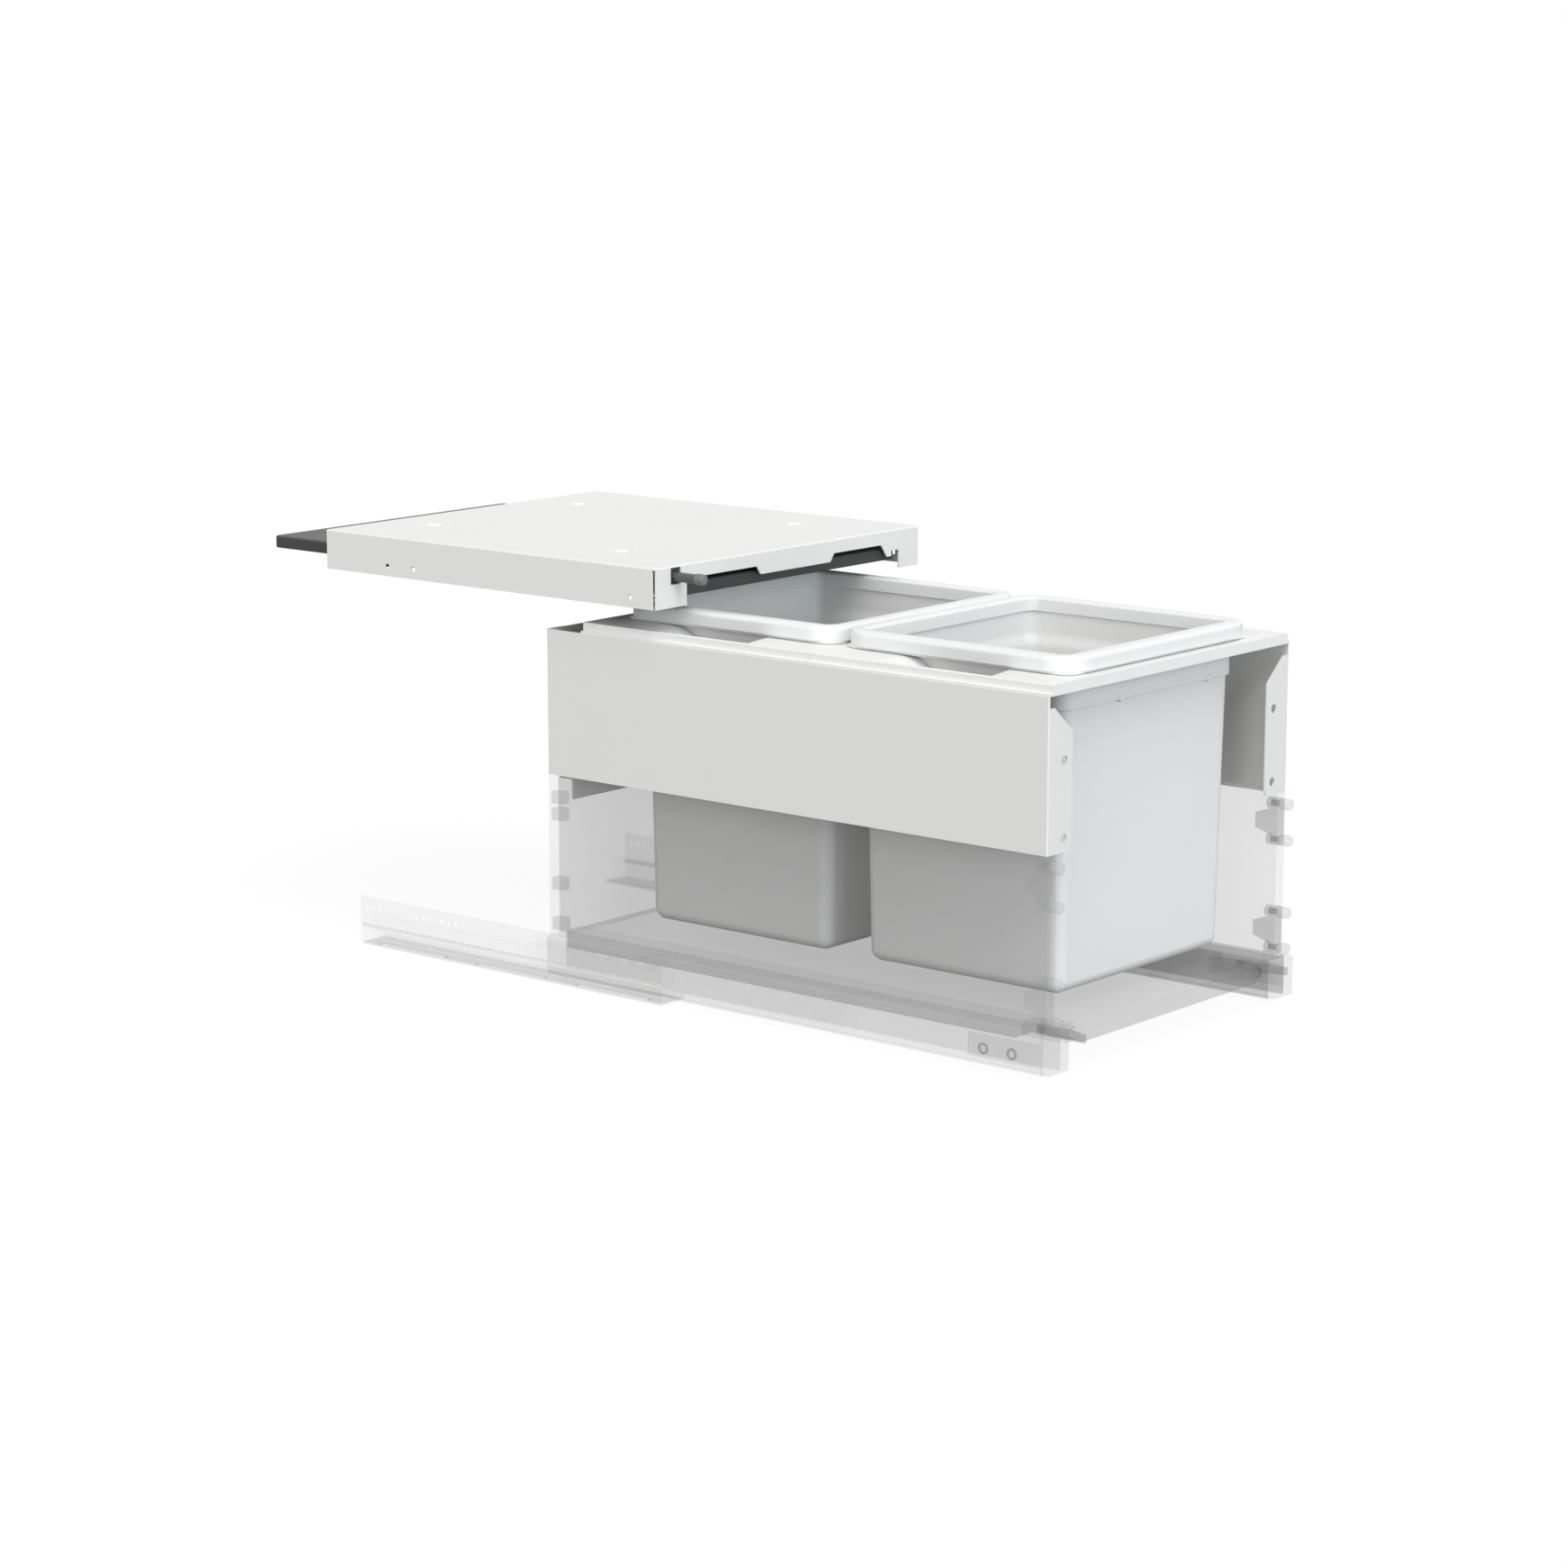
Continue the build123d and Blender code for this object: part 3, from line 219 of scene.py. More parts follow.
# Near-black finish on the housing's screws: painted shade for the dark hollow of each pressed dish.
DISH_SHADE_SCREW = Finish("blackened_screw", (0.045, 0.046, 0.048), 0.35, Grain.MOULDED, 0.08, 0.6)
# Much lighter copy of the board finish for the drawer back: painted light, so the back shows as lit where the
# bins, panels and housing shade it.
LIT_BACK_BOARD = Finish("see_through_back_board", (0.78, 0.78, 0.77), 0.45, Grain.SMOOTH, 0.03, alpha=0.20)
NEAR_RAIL = Finish("see_through_drawer_rail", (0.33, 0.33, 0.325), 0.30, Grain.ROLLED, 0.03, alpha=0.13)
# Darker, denser copy of the near drawer rail's finish: painted shade for the far rail, which lies in shade
# under the drawer base.
SHADED_FAR_RAIL = Finish("see_through_far_rail", (0.20, 0.20, 0.197), 0.30, Grain.ROLLED, 0.03, alpha=0.27)
NEAR_BRACKET = Finish("see_through_bracket", (0.32, 0.32, 0.315), 0.35, Grain.SMOOTH, 0.03, alpha=0.07)
# Darker, denser copy of the near bracket's finish: painted shade for the far brackets, which sit in shade
# behind the far drawer side.
SHADED_FAR_BRACKET = Finish("see_through_far_bracket", (0.22, 0.22, 0.218), 0.35, Grain.SMOOTH, 0.03, alpha=0.23)
BOSS = Finish("see_through_boss", (0.20, 0.20, 0.20), 0.35, Grain.MOULDED, 0.03, alpha=0.35)
OWN_FINISH: dict[str, Finish] = {
    # drawer back: the painted-light copy of the board
    "drawer_back": LIT_BACK_BOARD,
    # housing screws: painted dark as the dishes' shade
    "housing_screws": DISH_SHADE_SCREW,
    "left_drawer_rail": NEAR_RAIL,
    # far drawer rail: the painted-shade copy
    "right_drawer_rail": SHADED_FAR_RAIL,
    **{f"left_{name}_bracket": NEAR_BRACKET for name in ("upper", "lower")},
    # far brackets: the painted-shade copy
    **{f"right_{name}_bracket": SHADED_FAR_BRACKET for name in ("upper", "lower")},
    **{f"{side.word}_front_clip": CLIP for side in Side},
    **{
        f"{side.word}_{name}": INNER_RAIL
        for side in Side
        for name in ("middle_rail", "lower_roller_cage", "upper_roller_cage")
    },
}


# ------------------------------------------------------------------ meshes
def link(name: str, mesh: bpy.types.Mesh) -> bpy.types.Object:
    """Put a mesh into the scene as an object at the origin."""
    piece = bpy.data.objects.new(name, mesh)
    bpy.context.scene.collection.objects.link(piece)
    return piece


def grid_faces(rows: int, columns: int, ring_rows: bool = False) -> np.ndarray:
    """Quads between neighbouring rows and columns of a grid whose columns close round.

    Args:
        rows: number of rows, each a closed loop of points.
        columns: points in a row.
        ring_rows: True if the last row joins the first.

    Returns:
        An array of shape (faces, 4) of point numbers.
    """
    last = rows if ring_rows else rows - 1
    row, column = np.meshgrid(np.arange(last), np.arange(columns), indexing="ij")
    below, beside = (row + 1) % rows, (column + 1) % columns
    corners = (
        row * columns + column,
        row * columns + beside,
        below * columns + beside,
        below * columns + column,
    )
    return np.stack(corners, axis=-1).reshape(-1, 4)


def rounded_sections(stations: np.ndarray, centre: tuple[float, float], steps: int) -> np.ndarray:
    """Rounded rectangles, one for each station, as closed loops of points.

    The formula: a point at angle t lies on a circle of the corner's radius, whose middle is the corner
    moved in by that radius on both axes; the angle's quadrant says which corner it is.

    Args:
        stations: rows of half width, half depth, corner radius and height.
        centre: middle in X and Y.
        steps: points on each corner.

    Returns:
        Points of shape (stations, 4 * steps, 3).
    """
    angle = (np.arange(4)[:, None] * 90 + np.linspace(0, 90, steps)[None, :]) * math.pi / 180
    quadrant = np.arange(4)
    sign_x = np.where((quadrant == 0) | (quadrant == 3), 1.0, -1.0)[:, None]
    sign_y = np.where(quadrant < 2, 1.0, -1.0)[:, None]
    half_x, half_y, radius, height = (stations[:, n][:, None, None] for n in range(4))
    x = centre[0] + sign_x * (half_x - radius) + radius * np.cos(angle)
    y = centre[1] + sign_y * (half_y - radius) + radius * np.sin(angle)
    z = np.broadcast_to(height, x.shape)
    return np.stack([x, y, z], axis=-1).reshape(len(stations), 4 * steps, 3)


def arc(middle: tuple[float, float], radius: float, start: float, end: float, steps: int) -> np.ndarray:
    """Points on an arc: the middle plus the radius times the cosine and the sine of the angle.

    Args:
        middle: its middle, as outward and up.
        radius: its radius.
        start: angle of the first point in degrees, from the outward direction.
        end: angle of the last point.
        steps: number of points.

    Returns:
        Points of shape (steps, 2), as outward and up.
    """
    angle = np.radians(np.linspace(start, end, steps))
    return np.stack([middle[0] + radius * np.cos(angle), middle[1] + radius * np.sin(angle)], axis=-1)


def loops_object(name: str, loops: np.ndarray, closed: bool) -> bpy.types.Object:
    """Mesh of loops of points joined row by row.

    Args:
        name: name of the piece.
        loops: points of shape (rows, columns, 3).
        closed: True if the last row joins the first, False if a flat cap closes each end.

    Returns:
        The object, smooth, with its normals pointing out.
    """
    rows, columns = loops.shape[:2]
    faces = grid_faces(rows, columns, closed).tolist()
    if not closed:
        faces.append(list(range(columns)))
        faces.append(list(range((rows - 1) * columns, rows * columns)))
    mesh = bpy.data.meshes.new(name)
    mesh.from_pydata(loops.reshape(-1, 3), [], faces)
    work = bmesh.new()
    work.from_mesh(mesh)
    bmesh.ops.remove_doubles(work, verts=work.verts, dist=MERGE_LOOPS)
    bmesh.ops.recalc_face_normals(work, faces=work.faces)
    work.to_mesh(mesh)
    work.free()
    return smooth(link(name, mesh))


def smooth(piece: bpy.types.Object) -> bpy.types.Object:
    """Shade a piece smooth, with its large faces kept flat by weighted normals.

    Args:
        piece: the piece.

    Returns:
        The same piece.
    """
    piece.data.shade_smooth()
    weigh = piece.modifiers.new("weigh", "WEIGHTED_NORMAL")
    weigh.weight = NORMAL_WEIGHT
    weigh.keep_sharp = True
    return piece


def softened(node: str, width: float, segments: int = 2, limit: float = 30.0) -> bpy.types.Object:
    """A copy of a CAD node with its flat faces merged and its edges rounded.

    Args:
        node: the CAD node.
        width: width of the rounding.
        segments: facets across the rounding.
        limit: edges sharper than this, in degrees, are rounded.

    Returns:
        The new piece, not yet riding on a body.
    """
    work = bmesh.new()
    work.from_mesh(frame["nodes"][node].data)
    bmesh.ops.remove_doubles(work, verts=work.verts, dist=MERGE_CAD)
    flat = math.radians(FLAT_DEGREES)
    bmesh.ops.dissolve_limit(work, angle_limit=flat, verts=work.verts, edges=work.edges)
    mesh = bpy.data.meshes.new(f"{node}_dressed")
    work.to_mesh(mesh)
    work.free()
    piece = link(f"{node}_dressed", mesh)
    bevel = piece.modifiers.new("soften", "BEVEL")
    bevel.width = width
    bevel.segments = segments
    bevel.limit_method = "ANGLE"
    bevel.angle_limit = math.radians(limit)
    bevel.harden_normals = True
    return smooth(piece)


def body_of_node(node: str) -> str:
    """The CAD body that a node belongs to."""
    bodies = frame["record"]["behaviour"]["bodies"]
    return next(body for body, members in bodies.items() if node in members)


def slot_of_node(node: str) -> str:
    """The record's material slot of a node."""
    return next(s["material_slot"] for s in frame["record"]["subparts"] if s["node"] == node)


def outer_face(node: str, side: Side) -> float:
    """The X of a node's face that looks away from the middle."""
    low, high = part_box(node)
    return low.x if side is Side.LEFT else high.x


def dress(piece: bpy.types.Object, node: str, stands_for: bool = True) -> bpy.types.Object:
    """Give a new piece its node's finish and body.

    Args:
        piece: the piece.
        node: the CAD node it belongs to.
        stands_for: True if it is shown in place of the node.

    Returns:
        The same piece.
    """
    slot = slot_of_node(node)
    piece.data.materials.clear()
    piece.data.materials.append(OWN_FINISH.get(node, FINISHES[slot]).material())
    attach(piece, body_of_node(node))
    if stands_for:
        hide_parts(node)
    LOG.info("%s: %s", piece.name, slot)
    return piece


# ------------------------------------------------------------------ sub-assemblies
@dataclass
class SoftenedGroup:
    """Pieces whose CAD shape stays, with rounded edges and a finish.

    Attributes:
        nodes: the CAD nodes.
        width: rounding of their edges.
        segments: facets across the rounding.
    """

    nodes: tuple[str, ...]
    width: float
    segments: int = 2

    def build(self) -> None:
        """Make and dress each piece."""
        for node in self.nodes:
            dress(softened(node, self.width, self.segments), node)


@dataclass
class CabinetRail:
    """The L-shaped rail on the cabinet wall, its leg, bead and inner track in finishes of their own; the
    bead's is a painted highlight.

    Attributes:
        side: the cabinet's side.
        width: rounding of its edges.
        bead_x: depth of the rail's wall with the bead, which carries the painted highlight.
        bead_z: heights between which the bead and its painted highlight lie.
        track_x: from the rail's outer face to the near and far side of the inner track.
        leg_z: height under which a face belongs to the leg.
    """

    side: Side
    width: float = 0.25 * MM
    bead_x: tuple[float, float] = (1.6 * MM, 3.0 * MM)
    bead_z: tuple[float, float] = (14.5 * MM, 19.5 * MM)
    track_x: tuple[float, float] = (13 * MM, 23 * MM)
    leg_z: float = 1.8 * MM

    def build(self) -> None:
        """Make and dress the rail; where a face's middle lies says which of the four finishes it has, the
        bead getting the painted highlight.
        """
        node = f"{self.side.word}_cabinet_rail"
        piece = dress(softened(node, self.width), node)
        for finish in (INNER_RAIL, RAIL_BEAD_HIGHLIGHT, RAIL_LEG):
            piece.data.materials.append(finish.material())
        centres = np.empty(3 * len(piece.data.polygons))
        piece.data.polygons.foreach_get("center", centres)
        centres = centres.reshape(-1, 3)
        deep, up = np.abs(centres[:, 0] - outer_face(node, self.side)), centres[:, 2]
        track = self._inside(deep, self.track_x) & (up > self.leg_z)
        # the bead's faces take the painted highlight
        bead = self._inside(deep, self.bead_x) & self._inside(up, self.bead_z)
        index = np.select([track, bead, up < self.leg_z], [1, 2, 3], 0)
        piece.data.polygons.foreach_set("material_index", index.astype(np.int32))

    @staticmethod
    def _inside(values: np.ndarray, span: tuple[float, float]) -> np.ndarray:
        """True where a value lies inside the span."""
        return (values > span[0]) & (values < span[1])


@dataclass
class ClipBosses:
    """The two raised rings on the outer plate of a front clip.

    Attributes:
        side: the cabinet's side.
        places: behind the clip's front end, and above the runner's underside.
        radius: outer radius.
        bore: inner radius.
        height: how far they stand out.
        edge: bevel of their rim.
        facets: facets round them.
    """

    side: Side
    places: tuple[tuple[float, float], ...] = ((37 * MM, 20 * MM), (66 * MM, 20 * MM))
    radius: float = 5.0 * MM
    bore: float = 3.0 * MM
    height: float = 0.8 * MM
    edge: float = 0.2 * MM
    facets: int = 32

    def build(self) -> None:
        """Make the rings: a closed section turned round the X axis.

        A section's point lies at its own radius from the ring's middle, at the cosine of the turn along Y
        and the sine along Z, and stands out along X by its own height.
        """
        node = f"{self.side.word}_front_clip"
        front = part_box(node)[0].y
        outer = outer_face(node, self.side)
        low_edge = self.height - self.edge
        section = np.array([
            [self.bore, 0.0],
            [self.bore, low_edge],
            [self.bore + self.edge, self.height],
            [self.radius - self.edge, self.height],
            [self.radius, low_edge],
            [self.radius, 0.0],
        ])
        turn = np.linspace(0, 2 * math.pi, self.facets, endpoint=False)
        for n, (back, up) in enumerate(self.places):
            x = outer - self.side.value * (self.height - section[:, 1])[:, None] * np.ones_like(turn)
            y = front + back + section[:, 0][:, None] * np.cos(turn)
            z = up + section[:, 0][:, None] * np.sin(turn)
            ring = loops_object(f"{node}_boss_{n}", np.stack([x, y, z], axis=-1), True)
            dress(ring, node, False)
            ring.data.materials[0] = BOSS.material()


@dataclass
class Bin:
    """A tapered bin: rounded foot, sloping wall, straight band, flange and upright rim.

    Attributes:
        node: the CAD node it stands for.
        taper_x: how far each side wall leans out from foot to band.
        taper_y: the same for the front and rear walls.
        corner: radius of the upright corners.
        foot: radius round the foot.
        wall: thickness.
        band: depth of the band under the flange.
        step: how far the band stands out from the wall.
        flange: how far the flange stands out from the band.
        rim: height of the rim over the flange's underside.
        flange_t: thickness of the flange.
        nub: radius of the buttons on the band's front.
        nub_up: how far their middles are above the band's lower edge.
        nub_x: how far the left-hand and the right-hand one are from the middle.
        nub_out: how far they stand out.
        nub_edge: rounding of their edge.
        nub_root: how far they reach back from the band's face, into the wall below it.
        ramp: height over which the inside leans in behind the band.
        soft: rounding of the edges of band and flange.
        least_corner: least radius of a corner inside the bin.
        corner_steps: points on each corner.
        nub_facets: facets round a button.
        middle: middle of the bin in X and Y, from the node's box.
        half: half width and half depth over the band, from the node's box.
        floor: height of the underside.
        top: height of the rim's top.
        shoulder: height of the band's lower edge.
    """

    node: str
    taper_x: float = 2 * MM
    taper_y: float = 5 * MM
    corner: float = 14 * MM
    foot: float = 10 * MM
    wall: float = 2 * MM
    band: float = 31.3 * MM
    step: float = 3 * MM
    flange: float = 9.2 * MM
    rim: float = 12.6 * MM
    flange_t: float = 2.2 * MM
    nub: float = 3.0 * MM
    nub_up: float = 1.5 * MM
    nub_x: tuple[float, float] = (-47 * MM, 82 * MM)
    nub_out: float = 1.8 * MM
    nub_edge: float = 1.5 * MM
    nub_root: float = 3.5 * MM
    ramp: float = 14 * MM
    soft: float = 0.8 * MM
    least_corner: float = 3 * MM
    corner_steps: int = 17
    nub_facets: int = 24
    middle: tuple[float, float] = field(init=False)
    half: tuple[float, float] = field(init=False)
    floor: float = field(init=False)
    top: float = field(init=False)
    shoulder: float = field(init=False)

    def __post_init__(self) -> None:
        """Take the middle, the half sizes and the heights from the node's box."""
        low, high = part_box(self.node)
        self.middle = ((low.x + high.x) / 2, (low.y + high.y) / 2)
        self.half = ((high.x - low.x) / 2 - self.flange, (high.y - low.y) / 2 - self.flange)
        self.floor, self.top = low.z, high.z
        self.shoulder = self.top - self.rim - self.band

    def build(self) -> None:
        """Make the shell and the two nubs on its front."""
        stations = np.concatenate([self._outside(), self._inside()])
        loops = rounded_sections(stations, self.middle, self.corner_steps)
        dress(loops_object(f"{self.node}_shell", loops, False), self.node)
        for side in Side:
            dress(self._nub(side), self.node, False)

    def _nub(self, side: Side) -> bpy.types.Object:
        """A small round button on the front of the band, with a rounded edge.

        Its circles shrink towards the front: at angle t on the edge's quarter circle the radius is less
        by the edge times one minus the cosine, and the circle stands out by the edge times the sine.

        Args:
            side: which of the two it is.

        Returns:
            The button, not yet dressed.
        """
        edge, face = self.nub_edge, self.middle[1] - self.half[1]
        turn = np.linspace(0, 2 * math.pi, self.nub_facets, endpoint=False)
        bend = np.radians(np.linspace(0, 90, 6))
        radius = np.concatenate([[self.nub], self.nub - edge * (1 - np.cos(bend))])[:, None]
        ahead = np.concatenate([[-self.nub_root], self.nub_out - edge + edge * np.sin(bend)])[:, None]
        x = self.middle[0] + self.nub_x[side is Side.RIGHT] + radius * np.cos(turn)
        z = self.shoulder + self.nub_up + radius * np.sin(turn)
        y = np.broadcast_to(face - ahead, x.shape)
        return loops_object(f"{self.node}_{side.word}_nub", np.stack([x, y, z], axis=-1), False)

    def _stations(self, profile: np.ndarray, inset: float) -> np.ndarray:
        """Half sizes, corner radius and height for a profile of (outward from the band, height) points.

        Below the shoulder the walls lean in: at height z the half width shrinks by the taper times the
        share of the way down from the shoulder to the floor.

        Args:
            profile: points of shape (points, 2).
            inset: wall thickness if the profile is the inside's, or 0.

        Returns:
            Stations for rounded_sections.
        """
        out, z = profile[:, 0], profile[:, 1]
        share = np.clip((self.shoulder - z) / (self.shoulder - self.floor), 0, 1)
        half_x = self.half[0] + out - share * self.taper_x
        half_y = self.half[1] + out - share * self.taper_y
        radius = np.maximum(self.corner + np.minimum(out + inset, 0) - inset, self.least_corner)
        return np.stack([half_x, half_y, radius, z], axis=-1)

    def _outside(self) -> np.ndarray:
        """Go up the outside, from the foot over the band and flange to the rim.

        Returns:
            Stations for rounded_sections.
        """
        step, wall, soft, shoulder = self.step, self.wall, self.soft, self.shoulder
        flange_low = self.top - self.rim
        foot = arc((-step - self.foot, self.floor + self.foot), self.foot, -90, 0, 10)
        profile = np.concatenate([
            foot,
            [[-step, shoulder - soft]],
            arc((-step + soft, shoulder - soft), soft, 180, 90, 4)[1:],
            arc((-soft, shoulder + soft), soft, -90, 0, 4),
            arc((soft, flange_low - soft), soft, 180, 90, 4),
            arc((self.flange - soft, flange_low + soft), soft, -90, 0, 4),
            arc((self.flange - soft, flange_low + self.flange_t - soft), soft, 0, 90, 4),
            arc((soft, flange_low + self.flange_t + soft), soft, -90, -180, 4),
            arc((-wall / 2, self.top - wall / 2), wall / 2, 0, 180, 7),
        ])
        return self._stations(profile, 0)

    def _inside(self) -> np.ndarray:
        """Go down the inside, from the rim to the inner floor.

        Behind the band the inside leans in by the step: at the share t of the way down the ramp it is in
        by the step times half of one minus the cosine of t times 180 degrees.

        Returns:
            Stations for rounded_sections.
        """
        step, wall = self.step, self.wall
        inner_step = self.shoulder + wall
        radius = self.foot - wall
        share = np.linspace(0, 1, 9)
        inward = step * (1 - np.cos(share * math.pi)) / 2
        profile = np.concatenate([
            np.stack([-wall - inward, inner_step + self.ramp * (1 - share)], axis=-1),
            arc((-step - wall - radius, self.floor + wall + radius), radius, 0, -90, 10),
        ])
        return self._stations(profile, wall)


@dataclass
class BagRing:
    """A ring with a rounded top and a skirt inside the bin.

    Attributes:
        node: the CAD node it stands for.
        height: of the outer wall.
        corner: outer corner radius.
        band: width of the top.
        skirt_up: how far the skirt ends above the foot of the solid.
        inner_corner: corner radius of the hole.
        shoulder: radius of the outer top edge.
        lip: radius of the inner top edge.
        wall: thickness of the top and outer wall.
        skirt_t: thickness of the skirt.
        crown: how far the top rises in its middle.
        foot_edge: rounding of the outer wall's foot.
        corner_steps: points on each corner.
    """

    node: str
    height: float = 13.2 * MM
    corner: float = 30 * MM
    band: float = 16 * MM
    skirt_up: float = 10 * MM
    inner_corner: float = 10.1 * MM
    shoulder: float = 4.2 * MM
    lip: float = 2.4 * MM
    wall: float = 2.5 * MM
    skirt_t: float = 1.5 * MM
    crown: float = 0.35 * MM
    foot_edge: float = 0.5 * MM
    corner_steps: int = 21

    def build(self) -> None:
        """Make the ring as a closed profile carried round a rounded rectangle."""
        low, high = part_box(self.node)
        middle = ((low.x + high.x) / 2, (low.y + high.y) / 2)
        half = ((high.x - low.x) / 2, (high.y - low.y) / 2)
        profile = self._profile(low.z + self.skirt_up, high.z)
        outward, up = profile[:, 0], profile[:, 1]
        share = np.clip(-outward / self.band, 0, 1)
        radius = (self.corner + outward) * (1 - share) + self.inner_corner * share
        stations = np.stack([half[0] + outward, half[1] + outward, radius, up], axis=-1)
        loops = rounded_sections(stations, middle, self.corner_steps)
        dress(loops_object(f"{self.node}_body", loops, True), self.node)

    def _profile(self, skirt_foot: float, top: float) -> np.ndarray:
        """Go round the ring's section, from the outer wall's foot over the top and down the skirt.

        The top swells by the crown times the sine of the share of the way across it, times 180 degrees.

        Args:
            skirt_foot: height of the skirt's end.
            top: height of the ring's top.

        Returns:
            Points of shape (points, 2), as outward from the outer face and height.
        """
        foot, edge = top - self.height, self.foot_edge
        inner, under = -self.band, top - self.wall
        crest = top - self.crown
        outer = arc((-self.shoulder, crest - self.shoulder), self.shoulder, 0, 90, 9)
        flat = np.linspace(-self.shoulder, inner + self.lip, 7)[1:-1]
        swell = np.sin((flat - inner - self.lip) / (self.band - self.lip - self.shoulder) * math.pi)
        return np.concatenate([
            arc((-edge, foot + edge), edge, -90, 0, 4),
            outer,
            np.stack([flat, crest + self.crown * swell], axis=-1),
            arc((inner + self.lip, crest - self.lip), self.lip, 90, 180, 7),
            arc((inner + self.skirt_t / 2, skirt_foot + self.skirt_t / 2), self.skirt_t / 2, 180, 360, 6),
            [[inner + self.skirt_t, under], [-self.wall, under]],
            arc((-self.wall + edge, foot + edge), edge, 180, 270, 4)[:-1],
        ])


# ------------------------------------------------------------------ stage
@dataclass(frozen=True)
class Lamp:
    """A wide sun lamp.

    Attributes:
        name: name of the lamp.
        strength: how strongly it shines.
        colour: linear colour of its light.
        towards: the direction in which it stands from the object.
        spread: the angle that it takes up in the sky, in degrees.
    """

    name: str
    strength: float
    colour: tuple[float, float, float]
    towards: tuple[float, float, float]
    spread: float = 40.0

    def build(self) -> None:
        """Hang the lamp."""
        data = bpy.data.lights.new(self.name, "SUN")
        data.energy = self.strength
        data.color = self.colour
        data.angle = math.radians(self.spread)
        lamp = bpy.data.objects.new(self.name, data)
        lamp.rotation_mode = "QUATERNION"
        lamp.rotation_quaternion = Vector(self.towards).to_track_quat("Z", "Y")
        bpy.context.scene.collection.objects.link(lamp)


@dataclass(frozen=True)
class Studio:
    """Plain white studio: world, three soft lamps and a floor that keeps the shadow.

    Attributes:
        world: strength of the light from all round.
        lamps: the cool lamp in front, the one on the left and the warm one above.
        floor_size: half length of the floor.
        floor_drop: how far the floor lies under the object.
        floor_white: how strongly the floor sends light back to the object.
        floor_glow: share of white that the floor shows without light.
        floor_grey: how strongly the floor shows the light and the shadow on it.
    """

    world: float = 0.41
    lamps: tuple[Lamp, ...] = (
        Lamp("lamp_front", 1.33, (0.85, 0.95, 1.0), (-0.15, -0.95, 0.20)),
        Lamp("lamp_left", 0.81, (1.0, 1.0, 0.98), (-0.95, -0.10, 0.30)),
        Lamp("lamp_above", 1.60, (1.0, 0.995, 0.97), (-0.30, -0.40, 0.866)),
    )
    floor_size: float = 30.0
    floor_drop: float = 0.2 * MM
    floor_white: float = 0.4
    floor_glow: float = 0.92
    floor_grey: float = 0.09

    def build(self) -> None:
        """Make the world, the lamps and the floor."""
        self._world()
        for lamp in self.lamps:
            lamp.build()
        self._floor()

    def _world(self) -> None:
        """White where it is seen, the world's own strength where it lights."""
        world = bpy.data.worlds.new("studio")
        bpy.context.scene.world = world
        world.use_nodes = True
        nodes, links = world.node_tree.nodes, world.node_tree.links
        path = nodes.new("ShaderNodeLightPath")
        mirrored, seen = nodes.new("ShaderNodeMath"), nodes.new("ShaderNodeMath")
        mirrored.operation = seen.operation = "MAXIMUM"
        links.new(path.outputs["Is Glossy Ray"], mirrored.inputs[0])
        links.new(path.outputs["Is Transmission Ray"], mirrored.inputs[1])
        links.new(path.outputs["Is Camera Ray"], seen.inputs[0])
        links.new(mirrored.outputs[0], seen.inputs[1])
        strength = nodes.new("ShaderNodeMapRange")
        strength.inputs["To Min"].default_value = self.world
        strength.inputs["To Max"].default_value = 1.0
        links.new(seen.outputs[0], strength.inputs["Value"])
        sky = nodes["Background"]
        sky.inputs["Color"].default_value = (1, 1, 1, 1)
        links.new(strength.outputs["Result"], sky.inputs["Strength"])

    def _floor(self) -> None:
        """A white floor, lit for other surfaces and nearly white to the eye."""
        size, z = self.floor_size, -self.floor_drop
        corners = [(-size, -size, z), (size, -size, z), (size, size, z), (-size, size, z)]
        mesh = bpy.data.meshes.new("floor")
        mesh.from_pydata(corners, [], [(0, 1, 2, 3)])
        floor = link("floor", mesh)
        paint = bpy.data.materials.new("studio_floor")
        paint.use_nodes = True
        nodes, links = paint.node_tree.nodes, paint.node_tree.links
        nodes.remove(nodes["Principled BSDF"])
        path = nodes.new("ShaderNodeLightPath")
        plain = nodes.new("ShaderNodeBsdfDiffuse")
        plain.inputs["Color"].default_value = (self.floor_white, self.floor_white, self.floor_white, 1)
        seen = nodes.new("ShaderNodeBsdfDiffuse")
        seen.inputs["Color"].default_value = (self.floor_grey, self.floor_grey, self.floor_grey, 1)
        glow = nodes.new("ShaderNodeEmission")
        glow.inputs["Strength"].default_value = self.floor_glow
        both = nodes.new("ShaderNodeAddShader")
        links.new(seen.outputs[0], both.inputs[0])
        links.new(glow.outputs[0], both.inputs[1])
        pick = nodes.new("ShaderNodeMixShader")
        links.new(path.outputs["Is Camera Ray"], pick.inputs[0])
        links.new(plain.outputs[0], pick.inputs[1])
        links.new(both.outputs[0], pick.inputs[2])
        links.new(pick.outputs[0], nodes["Material Output"].inputs["Surface"])
        mesh.materials.append(paint)


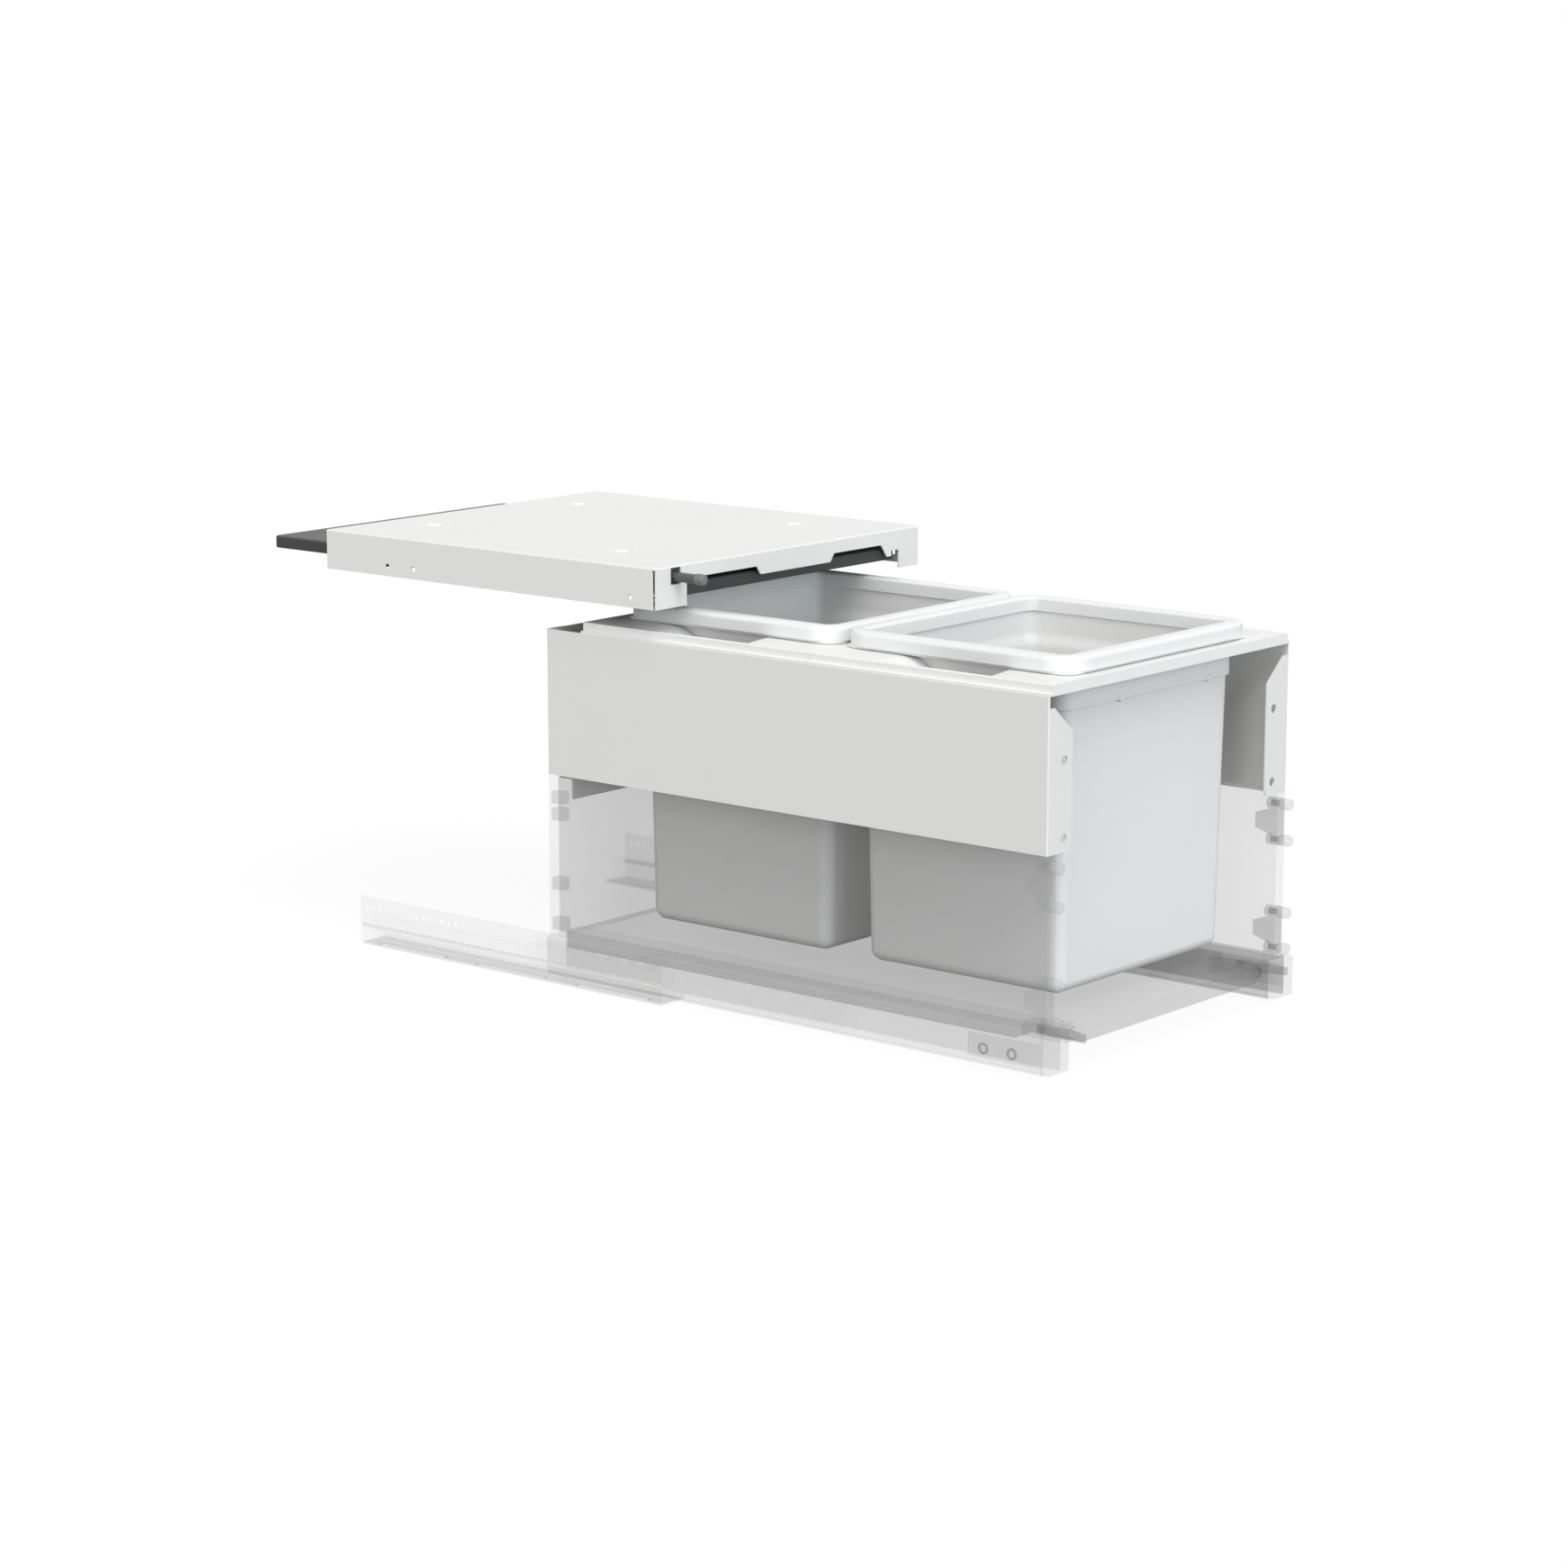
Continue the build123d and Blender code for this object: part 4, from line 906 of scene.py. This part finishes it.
@dataclass(frozen=True)
class Viewpoint:
    """The camera of the photograph.

    Attributes:
        place: where the camera stands.
        azimuth: heading from +Y towards +X, in degrees.
        elevation: how far it looks down, in degrees.
        focal_px: focal length in pixels of the frame.
        frame_px: side of the square frame.
        sensor_mm: width of the sensor.
    """

    place: tuple[float, float, float] = (-2.7786, -2.3287, 0.8811)
    azimuth: float = 50.337
    elevation: float = 11.19
    focal_px: float = 4543.8
    frame_px: float = 1740.0
    sensor_mm: float = 36.0

    def build(self) -> None:
        """Make the camera and choose it."""
        data = bpy.data.cameras.new("camera")
        data.sensor_width = self.sensor_mm
        data.lens = self.sensor_mm * self.focal_px / self.frame_px
        camera = bpy.data.objects.new("camera", data)
        turn, tilt = math.radians(self.azimuth), math.radians(self.elevation)
        look = Vector((math.sin(turn) * math.cos(tilt), math.cos(turn) * math.cos(tilt), -math.sin(tilt)))
        camera.location = self.place
        camera.rotation_mode = "QUATERNION"
        camera.rotation_quaternion = look.to_track_quat("-Z", "Y")
        bpy.context.scene.collection.objects.link(camera)
        bpy.context.scene.camera = camera


def both_sides(*names: str) -> tuple[str, ...]:
    """The left-hand and the right-hand node of each name."""
    return tuple(f"{side.word}_{name}" for name in names for side in Side)


def main() -> None:
    """Build the studio and every sub-assembly."""
    logging.basicConfig(level=logging.INFO, format="%(name)s: %(message)s")
    scene = bpy.context.scene
    scene.view_settings.view_transform = "Standard"
    scene.cycles.transparent_max_bounces = SEE_THROUGH_LAYERS
    Viewpoint().build()
    Studio().build()
    groups = (
        SoftenedGroup(("lid_housing",), 0.5 * MM, 3),
        SoftenedGroup(both_sides("side_panel") + ("rear_panel",), 0.35 * MM),
        SoftenedGroup(("front_top_frame", "rear_top_frame"), 0.7 * MM, 3),
        SoftenedGroup(("lid_panel", "lid_seal"), 0.6 * MM),
        SoftenedGroup(("push_rod", "rod_buffer", "rod_bush", "cross_rod", "lid_pins"), 0.4 * MM),
        SoftenedGroup(both_sides("slide_bar", "front_lid_guide", "rear_lid_guide"), 0.3 * MM),
        SoftenedGroup(("housing_screws", "rear_panel_screws"), 0.25 * MM),
        SoftenedGroup(both_sides("drawer_side", "drawer_rail", "middle_rail"), 0.25 * MM),
        SoftenedGroup(("drawer_base", "drawer_back"), 0.5 * MM),
        SoftenedGroup(both_sides("front_clip", "release_lever", "upper_bracket", "lower_bracket"), 0.3 * MM),
        SoftenedGroup(both_sides("front_dowels", "back_connectors"), 0.3 * MM),
        SoftenedGroup(both_sides("lower_roller_cage", "upper_roller_cage"), 0.2 * MM),
    )
    for group in groups:
        group.build()
    for side in Side:
        CabinetRail(side).build()
        ClipBosses(side).build()
    for where in ("front", "rear"):
        Bin(f"{where}_bin").build()
        BagRing(f"{where}_bag_ring").build()


if __name__ == "__main__":
    main()
